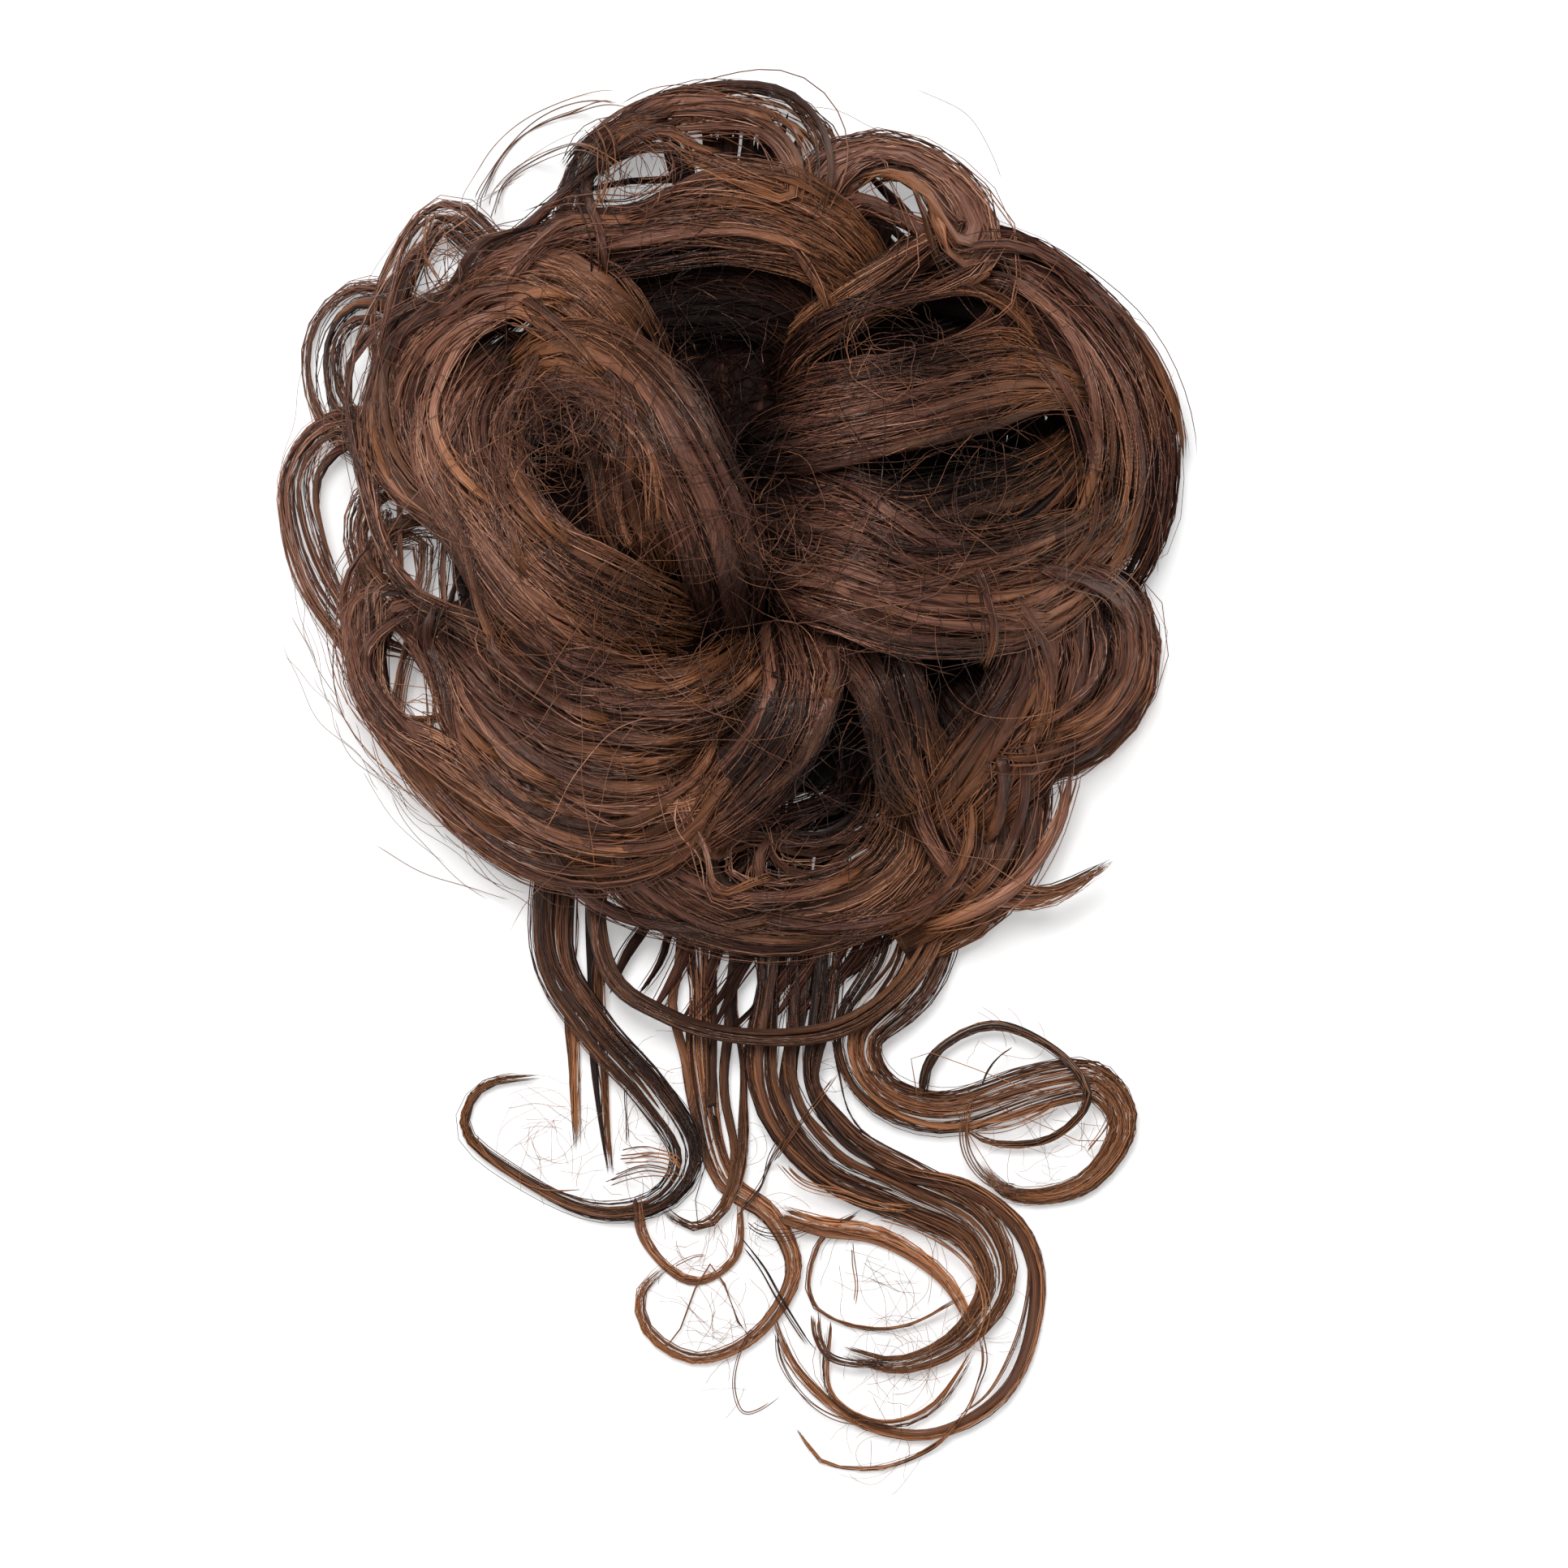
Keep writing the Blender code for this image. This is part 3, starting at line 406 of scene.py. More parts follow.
def smooth_path(points, spacing):
    """Evenly spaced points of a curve through the given ones. Values after x, y and z go with them."""
    points = np.array(points, float)
    ends = [2 * points[0] - points[1], *points, 2 * points[-1] - points[-2]]
    fine = []
    for before, start, end, after in zip(ends, ends[1:], ends[2:], ends[3:]):
        for t in np.arange(16) / 16:
            fine.append(0.5 * (
                2 * start + (end - before) * t + (2 * before - 5 * start + 4 * end - after) * t**2
                + (3 * start - before - 3 * end + after) * t**3))
    fine = np.array(fine + [points[-1]])
    lengths = np.r_[0.0, np.cumsum(np.linalg.norm(np.diff(fine[:, :3], axis=0), axis=1))]
    count = max(6, round(lengths[-1] / spacing))
    wanted = np.linspace(0.0, lengths[-1], count + 1)
    return np.stack([np.interp(wanted, lengths, column) for column in fine.T], axis=1)


class Course:
    """The path of a lock, with its width, depth and the ways that its sides and its flat face point."""

    def __init__(self, path, half_widths, half_depths, outward):
        self.path = path + RING
        self.half_widths = half_widths
        self.half_depths = half_depths
        self.length = np.linalg.norm(np.diff(path, axis=0), axis=1).sum()
        along = unit(np.gradient(path, axis=0))
        facing = outward(path[0])
        facings = []
        for point, direction in zip(path, along):
            facing = 0.35 * facing + 0.65 * outward(point)
            facing = unit(facing - direction * facing.dot(direction))
            facings.append(facing)
        self.along = along
        self.facing = np.array(facings)
        self.side = np.cross(along, self.facing)
        droop = np.hypot(self.side[:, 2] * half_widths, self.facing[:, 2] * half_depths)
        self.path[:, 2] = np.maximum(self.path[:, 2], droop)

    def at(self, shares):
        """The path's point, side, facing, half width and half depth at shares of its length."""
        steps = np.linspace(0, 1, len(self.path))

        def read(values):
            if values.ndim == 1:
                return np.interp(shares, steps, values)
            return np.stack([np.interp(shares, steps, column) for column in values.T], axis=-1)

        return (read(self.path), unit(read(self.side)), unit(read(self.facing)),
                read(self.half_widths), read(self.half_depths))


def lock_course(lock):
    half_depth = lock.depth * LOCK_DEPTH / 2
    points = []
    for across, along, lift in lock.rows:
        x, y = across * BUN_WIDTH / 2, along * BUN_LENGTH / 2
        points.append((x, y, ground_height(x, y) + half_depth + lift * PILE_DEPTH))
    path = smooth_path(points, LOCK_SPACING)
    shares = np.linspace(0, 1, len(path))
    swell = ROOT_FULL + (1 - ROOT_FULL) * np.minimum(1.0, shares / ROOT_SWELL)
    fade = np.clip((shares - 1 + TIP_TAPER) / TIP_TAPER, 0, 1)
    full = np.minimum(swell, 1 - (1 - lock.tip) * fade**1.5)
    return Course(path, full * lock.width * LOCK_WIDTH / 2, full * half_depth,
                  lambda point: unit(point + np.array((0, 0, HEART_DROP))))


def tendril_course(tendril):
    half_depth = tendril.depth * TENDRIL_DEPTH / 2
    points = []
    for across, down, lift, full in tendril.rows:
        reach = TAIL_LENGTH if down > 0 else BUN_LENGTH / 2 - WEFT_RADIUS
        x, y = across * BUN_WIDTH / 2, -BUN_LENGTH / 2 - down * reach
        points.append((x, y, half_depth + lift * TAIL_RISE, full))
    path = smooth_path(points, TENDRIL_SPACING)
    full = path[:, 3]
    return Course(path[:, :3], full * tendril.width * TENDRIL_WIDTH / 2, full**THINNING * half_depth,
                  lambda point: np.array((0.0, 0.0, 1.0)))


class Skein:
    """Hairs gathered for one piece, turned into one mesh of thin closed tubes."""

    def __init__(self):
        self.corners = []
        self.faces = []
        self.uvs = []
        self.used = 0

    def add(self, corners, faces_uvs):
        """corners: corners by 3. faces_uvs: pairs of faces and the UVs of all corners that they count in."""
        for faces, uv in faces_uvs:
            self.faces.append(faces + self.used)
            self.uvs.append(uv[faces].reshape(-1, 2))
        self.corners.append(corners)
        self.used += len(corners)

    def add_tubes(self, lines, wide, thick, tones, span=0.006, sides=3, towards=None, groove=0.0):
        """lines: tubes by steps by 3. wide and thick: half sizes along them. tones: one each, or along them.

        towards is the way that the wide side lies, and span is how far the tone changes across it.
        """
        tubes, steps = lines.shape[:2]
        along = unit(np.gradient(lines, axis=1))
        if towards is None:
            first = unit(np.cross(along, np.array((0.31, 0.17, 0.93))))
        else:
            first = unit(towards - along * (towards * along).sum(axis=-1, keepdims=True))
        second = np.cross(along, first)
        turns = full_turn(sides)
        ridge = ridged(sides, 1.0 - groove)
        inner = slice(1, -1)
        rings = (lines[:, inner, None]
                 + first[:, inner, None] * (wide[:, inner, None] * ridge * np.cos(turns))[..., None]
                 + second[:, inner, None] * (thick[:, inner, None] * ridge * np.sin(turns))[..., None])
        count = (steps - 2) * sides
        corners = np.concatenate([rings.reshape(tubes, count, 3), lines[:, :1], lines[:, -1:]], axis=1)
        tones = np.broadcast_to(tones if np.ndim(tones) == 2 else tones[:, None], (tubes, steps))
        u = (tones[:, inner, None] + span * np.cos(turns + 0.3)).reshape(tubes, count)
        u = np.clip(np.concatenate([u, tones[:, :1], tones[:, -1:]], axis=1), *TONE_LIMITS)
        share = np.r_[np.repeat(np.arange(1, steps - 1) / (steps - 1), sides), 0.0, 1.0]
        uv = np.stack([u, np.broadcast_to(inset(share), u.shape)], axis=-1).reshape(-1, 2)
        ring = np.arange(sides)
        after = (ring + 1) % sides
        step = np.arange(steps - 3)[:, None] * sides
        quads = np.stack([step + ring, step + after, step + sides + after, step + sides + ring], axis=-1)
        last = (steps - 3) * sides
        roots = np.stack([after, ring, np.full(sides, count)], axis=-1)
        tips = np.stack([last + ring, last + after, np.full(sides, count + 1)], axis=-1)
        base = np.arange(tubes)[:, None, None] * (count + 2)
        self.add(corners.reshape(-1, 3), [
            ((faces[None] + base).reshape(-1, faces.shape[-1]), uv)
            for faces in (quads.reshape(-1, 4), roots, tips)])

    def add_grid(self, corners, tones, shares):
        """A closed body whose rings of corners are rows by columns by 3, such as the core of a lock."""
        rows, columns = corners.shape[:2]
        column = np.arange(columns)
        after = (column + 1) % columns
        row = np.arange(rows - 1)[:, None] * columns
        quads = np.stack([row + column, row + after, row + columns + after, row + columns + column], axis=-1)
        total = rows * columns
        last = (rows - 1) * columns
        roots = np.stack([after, column, np.full(columns, total)], axis=-1)
        tips = np.stack([last + column, last + after, np.full(columns, total + 1)], axis=-1)
        uv = np.stack([np.clip(tones, *TONE_LIMITS), np.broadcast_to(shares[:, None], tones.shape)], axis=-1)
        uv_ends = [[tones[0].mean(), shares[0]], [tones[-1].mean(), shares[-1]]]
        uv = np.concatenate([uv.reshape(-1, 2), uv_ends])
        ends = np.stack([corners[0].mean(axis=0), corners[-1].mean(axis=0)])
        self.add(np.concatenate([corners.reshape(-1, 3), ends]),
                 [(quads.reshape(-1, 4), uv), (roots, uv), (tips, uv)])

    def piece(self, name, material, node=None):
        corners = np.concatenate(self.corners)
        loops = np.concatenate([faces.ravel() for faces in self.faces])
        sizes = np.concatenate([np.full(len(faces), faces.shape[1]) for faces in self.faces])
        mesh = bpy.data.meshes.new(name)
        mesh.vertices.add(len(corners))
        mesh.vertices.foreach_set("co", corners.astype(np.float32).ravel())
        mesh.loops.add(len(loops))
        mesh.loops.foreach_set("vertex_index", loops.astype(np.int32))
        mesh.polygons.add(len(sizes))
        mesh.polygons.foreach_set("loop_start", np.r_[0, np.cumsum(sizes)[:-1]].astype(np.int32))
        mesh.update(calc_edges=True)
        layer = mesh.uv_layers.new(name=UV_MAP)
        layer.uv.foreach_set("vector", np.concatenate(self.uvs).astype(np.float32).ravel())
        mesh.shade_smooth()
        mesh.materials.append(material)
        obj = bpy.data.objects.new(name, mesh)
        bpy.context.scene.collection.objects.link(obj)
        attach(obj, "root")
        if node:
            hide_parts(node)
        return obj


def wander(rng, count, shares, waves, size):
    """A smooth random path for each hair: sums of waves along its length, size across."""
    total = np.zeros((count, len(shares)))
    for wave in waves:
        phase = rng.uniform(0, 2 * math.pi, (count, 1))
        pace = wave * rng.uniform(0.7, 1.3, (count, 1))
        height = rng.normal(0, 1, (count, 1))
        total += height * np.sin(2 * math.pi * pace * shares + phase) / len(waves) ** 0.5
    return size * total


def hair_radii(rng, count, shares, thickness):
    """Thickness along each hair, which thins towards its two ends."""
    ends = np.minimum(1, np.minimum(shares / 0.03 + 0.4, (1 - shares) / 0.12 + 0.25))
    return thickness * rng.uniform(0.7, 1.35, (count, 1)) * ends


def above_surface(lines, radii):
    lines[..., 2] = np.maximum(lines[..., 2], radii + 0.0001)
    return lines


# Where the hair is painted darker or lighter: (across, along, radius, darkness), in shares of half the bun's
# width and of half its length. Rows above 0 darken the hair, as painted shade in the bun's hollows and under
# its lower edge, and rows below 0 are painted highlight on places that catch the light.
PAINTED_SHADE_AND_LIGHT = (
    (-0.06, 0.40, 0.20, 0.56), (0.03, 0.12, 0.15, 0.50), (0.03, -0.15, 0.12, 0.50),
    (0.25, -0.60, 0.17, 0.46), (0.52, 0.07, 0.16, 0.45), (0.42, 0.38, 0.15, 0.38),
    (-0.24, -0.20, 0.13, 0.42), (-0.40, 0.20, 0.10, 0.08), (0.88, 0.02, 0.20, 0.20),
    (0.45, -0.36, 0.13, 0.32), (-0.30, 0.80, 0.08, 0.25), (0.30, 0.62, 0.08, 0.20),
    (-0.52, -0.16, 0.10, 0.20), (0.06, -0.50, 0.12, 0.28), (-0.66, -0.55, 0.22, -0.10),
    (-0.70, 0.10, 0.14, -0.07), (-0.02, 0.66, 0.16, -0.08), (0.42, 0.23, 0.12, -0.08),
    (0.60, 0.60, 0.14, -0.08), (-0.10, -0.72, 0.18, -0.06), (-0.05, -1.03, 0.15, 0.24),
    (0.20, -1.04, 0.15, 0.24), (-0.19, -1.24, 0.07, 0.20), (-0.08, -1.40, 0.07, 0.35),
    (-0.13, -1.53, 0.07, 0.30),
)
# Where hair is combed aside, so that the ground or the dark inside shows: (across, along, half length,
# half width, turn), in shares of half the bun's width and of half its length, metres and degrees
PETAL_WINDOWS = (
    (-0.65, 0.56, 0.0092, 0.0054, 77), (-0.46, 0.73, 0.0088, 0.0044, 50),
    (-0.215, 0.765, 0.0092, 0.0056, 50), (0.37, 0.73, 0.0088, 0.0044, -25),
    (-0.795, 0.37, 0.0088, 0.0030, 88), (-0.87, 0.08, 0.0050, 0.0036, 70),
)
BUN_PARTINGS = (
    (-0.66, -0.10, 0.0088, 0.0070, -35), (-0.70, -0.375, 0.0076, 0.0058, -35),
    (0.025, -0.76, 0.0072, 0.0036, 60), (0.67, 0.58, 0.0060, 0.0014, -30),
    (0.38, 0.42, 0.0175, 0.0042, 13), (0.25, -0.53, 0.0120, 0.0044, 80),
    (-0.42, -0.62, 0.0050, 0.0020, -15), (-0.45, -0.30, 0.0050, 0.0024, -10),
)
NAPE_PARTINGS = (
    (-0.202, -1.012, 0.0066, 0.0026, 58), (-0.225, -0.946, 0.0045, 0.0009, 50),
    (-0.104, -1.093, 0.0046, 0.0021, 65), (0.038, -1.071, 0.0058, 0.0022, 65),
    (0.111, -1.088, 0.0038, 0.0008, 65), (0.152, -1.082, 0.0032, 0.0008, 62),
    (0.298, -1.108, 0.0027, 0.0007, 48), (-0.045, -1.276, 0.0067, 0.0007, 90),
    (0.005, -1.276, 0.0080, 0.0016, 88), (0.111, -1.247, 0.0048, 0.0007, 80),
    (0.220, -1.282, 0.0048, 0.0022, 105),
)


def combed(lines, partings):
    """Moves hairs aside, so that each parting is clear. The whole of one hair goes to the same side."""
    for across, along, half_length, half_width, degrees in partings:
        turn = math.radians(degrees)
        ways = np.array(((math.cos(turn), -math.sin(turn)), (math.sin(turn), math.cos(turn))))
        sizes = np.array((half_length, half_width))
        place = (lines[..., :2] - bun_point(across, along)) @ ways / sizes
        near = (np.abs(place[..., 0]) < 1) & (np.abs(place[..., 1]) < COMB_REACH)
        if not near.any():
            continue
        # Hair that runs across a parting moves to one of its ends, and other hair to one of its sides
        height = np.where(near, place[..., 1], 0)
        crosses = ((height.min(axis=1) < -0.8) & (height.max(axis=1) > 0.8))[:, None]
        value = np.where(crosses, place[..., 0], place[..., 1])
        other = np.where(crosses, place[..., 1], place[..., 0])
        sign = np.where((value * near).sum(axis=1, keepdims=True) < 0, -1.0, 1.0)
        value = sign * value
        edge = np.sqrt(np.clip(1 - other**2, 0, 1))
        ahead = edge + value * (COMB_REACH - edge) / COMB_REACH
        behind = edge + value * np.maximum(0.05, 1 - 3 * edge)
        moved = np.where(value > COMB_REACH, value, np.where(value > 0, ahead, behind)) - value
        moved = sign * smoothed(np.where(near.any(axis=1, keepdims=True), moved, 0.0), COMB_PASSES)
        shift = np.stack([np.where(crosses, moved, 0.0), np.where(crosses, 0.0, moved)], axis=-1)
        lines = lines.copy()
        lines[..., :2] += (shift * sizes) @ ways.T
    return lines


def hollow_shade(lines):
    """How much painted shade the bun's hollows put on each point, less the painted highlight where it catches
    the light.
    """
    x, y = (lines[..., 0] - RING[0]) / (BUN_WIDTH / 2), (lines[..., 1] - RING[1]) / (BUN_LENGTH / 2)
    return sum(darkness * np.exp(-((x - across) ** 2 + (y - along) ** 2) / radius**2)
               for across, along, radius, darkness in PAINTED_SHADE_AND_LIGHT)


def shaded(tones, lines):
    """Tones along hairs, with painted shade where a hair lies deep in a hollow of the bun, and painted
    highlight where it catches the light.
    """
    buried = 1 - 0.65 * smoothstep(0.034, 0.052, lines[..., 2])
    return tones[:, None] - buried * hollow_shade(lines)


def strands_along(rng, course, count, hair, step_length, tone, spread, partings):
    """Hairs of one lock, gathered in clumps that drift across its section, with painted highlight on its
    ridge and painted shade on its sides and in the bun's hollows.
    """
    steps = int(np.clip(round(course.length / step_length), 10, 48)) + 1
    clumps = max(3, count // hair.hairs_in_clump)
    owner = rng.integers(0, clumps, count)
    start = rng.uniform(0.0, 0.05, count)
    end = 1 - np.abs(rng.normal(0, hair.end_scatter, count))
    short = rng.random(count) < hair.short_share
    end = np.where(short, rng.uniform(0.45, 0.9, count), end)
    flat = np.linspace(0, 1, steps)
    shares = start[:, None] + (end - start)[:, None] * flat
    turn = rng.uniform(0, 2 * math.pi, clumps)
    turn = np.where(rng.random(clumps) < 0.55, np.abs(turn - math.pi), turn)
    turn = turn[owner][:, None] + rng.normal(0, 0.30, (count, 1))
    turn = turn + wander(rng, clumps, flat, (0.6, 1.1), 0.25)[owner]
    turn = turn + wander(rng, count, flat, (0.8, 1.7), 0.12)
    reach = rng.uniform(0.86, 1.04, clumps)[owner][:, None] + rng.normal(0, 0.05, (count, 1))
    reach = reach + wander(rng, clumps, flat, (0.7,), 0.05)[owner]
    point, side, facing, wide, deep = course.at(shares)
    across = wide * reach * np.cos(turn) + wander(rng, count, flat, (1.2, 2.6), spread)
    upward = deep * reach * np.sin(turn) + wander(rng, count, flat, (1.2, 2.6), spread * 0.6)
    stray = rng.random(count) < hair.stray_share
    loose = np.where(stray, rng.uniform(1.5, 4.5, count), 0.0)[:, None]
    across = across + loose * wander(rng, count, flat, (0.5, 1.3), spread)
    upward = upward + np.abs(loose * wander(rng, count, flat, (0.5, 1.3), spread))
    lines = combed(point + side * across[..., None] + facing * upward[..., None], partings)
    radii = hair_radii(rng, count, flat, hair.hair_radius)
    radii = np.where(stray[:, None], radii * 0.6, radii)
    tones = tone + rng.normal(0, 0.15, clumps)[owner] + rng.normal(0, 0.13, count)
    lines = above_surface(lines, radii)
    return lines, radii, radii, shaded(tones, lines) + RIDGE_LIGHT * (np.sin(turn) - 0.5)


def add_hairs(skein, rng, lines, thickness, tone, scatter, base=0.0, limits=None, in_bun=False):
    """Single hairs along lines. Tones scatter about base + tone, and in_bun adds painted shade from the
    hollows.
    """
    count, steps = lines.shape[:2]
    radii = hair_radii(rng, count, np.linspace(0, 1, steps), thickness)
    tones = base + rng.normal(tone, scatter, count)
    if limits:
        tones = np.clip(tones, *limits)
    if in_bun:
        tones = shaded(tones, lines)
    skein.add_tubes(above_surface(lines, radii), radii, radii, tones)


def add_wisps(skein, rng, course, count, half_width, tone, step_length, partings, flat_lanes=True):
    """Flat wisps of close hair, in lanes side by side with slits between them or round a lock's section."""
    steps = int(np.clip(round(course.length / step_length), 14, 60)) + 1
    flat = np.linspace(0, 1, steps)
    start = rng.uniform(0.0, 0.04, count)
    end = 1 - np.abs(rng.normal(0, 0.03, count))
    end = np.where(rng.random(count) < 0.22, rng.uniform(0.5, 0.92, count), end)
    if flat_lanes:
        end = np.where(np.arange(count) < 2, rng.uniform(0.95, 1.0, count), rng.uniform(0.38, 1.0, count))
    shares = start[:, None] + (end - start)[:, None] * flat
    point, side, facing, wide, deep = course.at(shares)
    if flat_lanes:
        lane = (2 * (rng.permutation(count) + 0.5 + rng.uniform(-0.25, 0.25, count)) / count - 1)[:, None]
        lane = np.clip(0.84 * lane + wander(rng, count, flat, (0.7, 1.4), 0.16), -1, 1)
        across, upward = wide * lane, deep * wander(rng, count, flat, (0.6, 1.1), 0.45)
        towards = side + 0 * lane[..., None]
        ridge = 0.0
    else:
        turn = (2 * math.pi * (np.arange(count) + rng.uniform(-0.5, 0.5, count)) / count)[:, None]
        turn = turn + wander(rng, count, flat, (0.5, 1.0), 0.22)
        reach = rng.uniform(0.74, 0.97, (count, 1)) + wander(rng, count, flat, (0.8,), 0.04)
        across, upward = wide * reach * np.cos(turn), deep * reach * np.sin(turn)
        towards = side * (-wide * np.sin(turn))[..., None] + facing * (deep * np.cos(turn))[..., None]
        # Painted highlight on the round wisps at the lock's ridge, and painted shade on its sides and
        # underside
        ridge = RIDGE_LIGHT * (np.sin(turn) - 0.5)
    lines = combed(point + side * across[..., None] + facing * upward[..., None], partings)
    ends = np.minimum(1, flat / 0.06 + 0.3) * np.minimum(1, (1 - flat) / 0.28 + 0.12) ** 0.8
    full = (wide / wide.max()) ** (0.7 if flat_lanes else 0.5)
    half = half_width * rng.uniform(0.55, 1.45, (count, 1)) * ends * full
    half = half * (1 + wander(rng, count, flat, (1.5, 3.0), 0.12))
    thick = half * 0.42
    tones = tone + rng.normal(0, 0.18 if flat_lanes else 0.13, count)
    lines = above_surface(lines, thick)
    # Tones darkened with painted shade in the bun's hollows, plus the painted ridge light
    skein.add_tubes(lines, half, thick, shaded(tones, lines) + ridge, 0.07, 8, towards, 0.16)


def core_grid(rng, course, fill, ridges, tone, partings):
    """The body inside a lock, ridged along its length like packed hair, and made darker than the lock with
    painted shade.
    """
    rows = max(10, int(course.length / 0.005))
    columns = ridges * 2
    shares = np.linspace(0.0, 1.0, rows)
    point, side, facing, wide, deep = course.at(shares)
    aside = combed(point[None], partings)[0]
    squeeze = 1 / (1 + np.linalg.norm(aside - point, axis=-1) / 0.0015)
    point, wide, deep = aside, wide * squeeze, deep * squeeze
    turns = full_turn(columns)
    ridge = ridged(columns, 0.90)
    drift = 1 + 0.04 * np.sin(3 * turns[None] + 9 * shares[:, None] + rng.uniform(0, 6))
    scale = fill * ridge * drift
    swirl = turns[None] + 0.25 * np.sin(5 * shares[:, None] + rng.uniform(0, 6))
    corners = (point[:, None] + side[:, None] * (wide[:, None] * scale * np.cos(swirl))[..., None]
               + facing[:, None] * (deep[:, None] * scale * np.sin(swirl))[..., None])
    corners[..., 2] = np.maximum(corners[..., 2], 0.0002)
    tones = shaded(np.full(rows, tone), corners) + 0.22 * np.cos(turns + 0.4)
    return corners, tones, inset(shares)


class Value:
    """A shader socket that takes part in Python expressions."""

    def __init__(self, tree, socket):
        self.tree = tree
        self.socket = socket

    def math(self, operation, *values):
        return self.tree.node("ShaderNodeMath", {"operation": operation}, dict(enumerate(values)))[0]

    def __add__(self, other):
        return self.math("ADD", self, other)

    def __radd__(self, other):
        return self.math("ADD", other, self)

    def __sub__(self, other):
        return self.math("SUBTRACT", self, other)

    def __rsub__(self, other):
        return self.math("SUBTRACT", other, self)

    def __mul__(self, other):
        return self.math("MULTIPLY", self, other)

    def __rmul__(self, other):
        return self.math("MULTIPLY", other, self)

    def wave(self):
        return self.math("SINE", self) * 0.5 + 0.5


class Finish:
    """A material made from nodes, with one Principled BSDF."""

    def __init__(self, name):
        self.material = bpy.data.materials.new(name)
        self.material.use_nodes = True
        self.nodes = self.material.node_tree.nodes
        self.links = self.material.node_tree.links
        self.shader = self.nodes["Principled BSDF"]

    def set(self, target, value):
        if isinstance(value, Value):
            self.links.new(value.socket, target)
        else:
            target.default_value = value

    def node(self, kind, settings=None, inputs=None):
        """Adds a node of this kind, makes its settings, then sets or links its sockets. Gives its outputs."""
        node = self.nodes.new(kind)
        for name, value in (settings or {}).items():
            if name == "stops":
                ramp = node.color_ramp
                while len(ramp.elements) < len(value):
                    ramp.elements.new(0.5)
                for element, (place, colour) in zip(ramp.elements, value):
                    element.position = place
                    element.color = (*colour, 1.0)
            else:
                setattr(node, name, value)
        for name, value in (inputs or {}).items():
            self.set(node.inputs[name], value)
        return [Value(self, output) for output in node.outputs if output.enabled]

    def wear(self, values):
        for name, value in values.items():
            self.set(self.shader.inputs[name], value)
        return self.material


def hair_finish(name, colours, tip_colour, roughness, shine):
    """Hair coloured by each hair's tone, from dark to light, darker at its root with painted shade and warmer
    at its tip.
    """
    finish = Finish(name)
    uv = finish.node("ShaderNodeUVMap", {"uv_map": UV_MAP})[0]
    tone, along, _ = finish.node("ShaderNodeSeparateXYZ", inputs={0: uv})

    def streaks(fineness, pace):
        place = finish.node("ShaderNodeCombineXYZ", inputs={0: tone * fineness, 1: along * pace, 2: 0.0})[0]
        return finish.node("ShaderNodeTexNoise", {"noise_dimensions": "2D"},
                           {"Vector": place, "Scale": 1.0, "Detail": 2.0, "Roughness": 0.6})[0]

    fine, coarse = streaks(95.0, 6.0), streaks(26.0, 2.5)
    place = tone + (fine - 0.5) * 0.62 + (coarse - 0.5) * 0.40
    stops = list(zip((0.0, 0.28, 0.55, 0.80, 1.0), colours))
    colour = finish.node("ShaderNodeValToRGB", {"stops": stops}, {0: place})[0]
    # Painted shade: each hair is darkened over the first fifth of its length, down to 0.55 at its root in the
    # bun
    root = finish.node("ShaderNodeMapRange", {"interpolation_type": "SMOOTHSTEP"},
                       {"Value": along, 1: 0.0, 2: 0.20, 3: 0.55, 4: 1.0})[0]
    shade = finish.node("ShaderNodeCombineColor", inputs={0: root, 1: root, 2: root})[0]
    colour = finish.node("ShaderNodeMix", {"data_type": "RGBA", "blend_type": "MULTIPLY"},
                         {0: 1.0, 6: colour, 7: shade})[0]
    tip = finish.node("ShaderNodeMapRange", {"interpolation_type": "SMOOTHSTEP"},
                      {"Value": along, 1: 0.45, 2: 1.0, 3: 0.0, 4: 0.85})[0]
    colour = finish.node("ShaderNodeMix", {"data_type": "RGBA"},
                         {0: tip * tone, 6: colour, 7: (*tip_colour, 1.0)})[0]
    bump = finish.node("ShaderNodeBump", inputs={"Strength": 0.8, "Distance": 0.0003, "Height": fine})[0]
    return finish.wear({
        "Base Color": colour, "Roughness": (fine - 0.5) * 0.15 + roughness, "IOR": 1.5,
        "Specular IOR Level": shine, "Specular Tint": (1.0, 0.84, 0.76, 1.0), "Normal": bump})


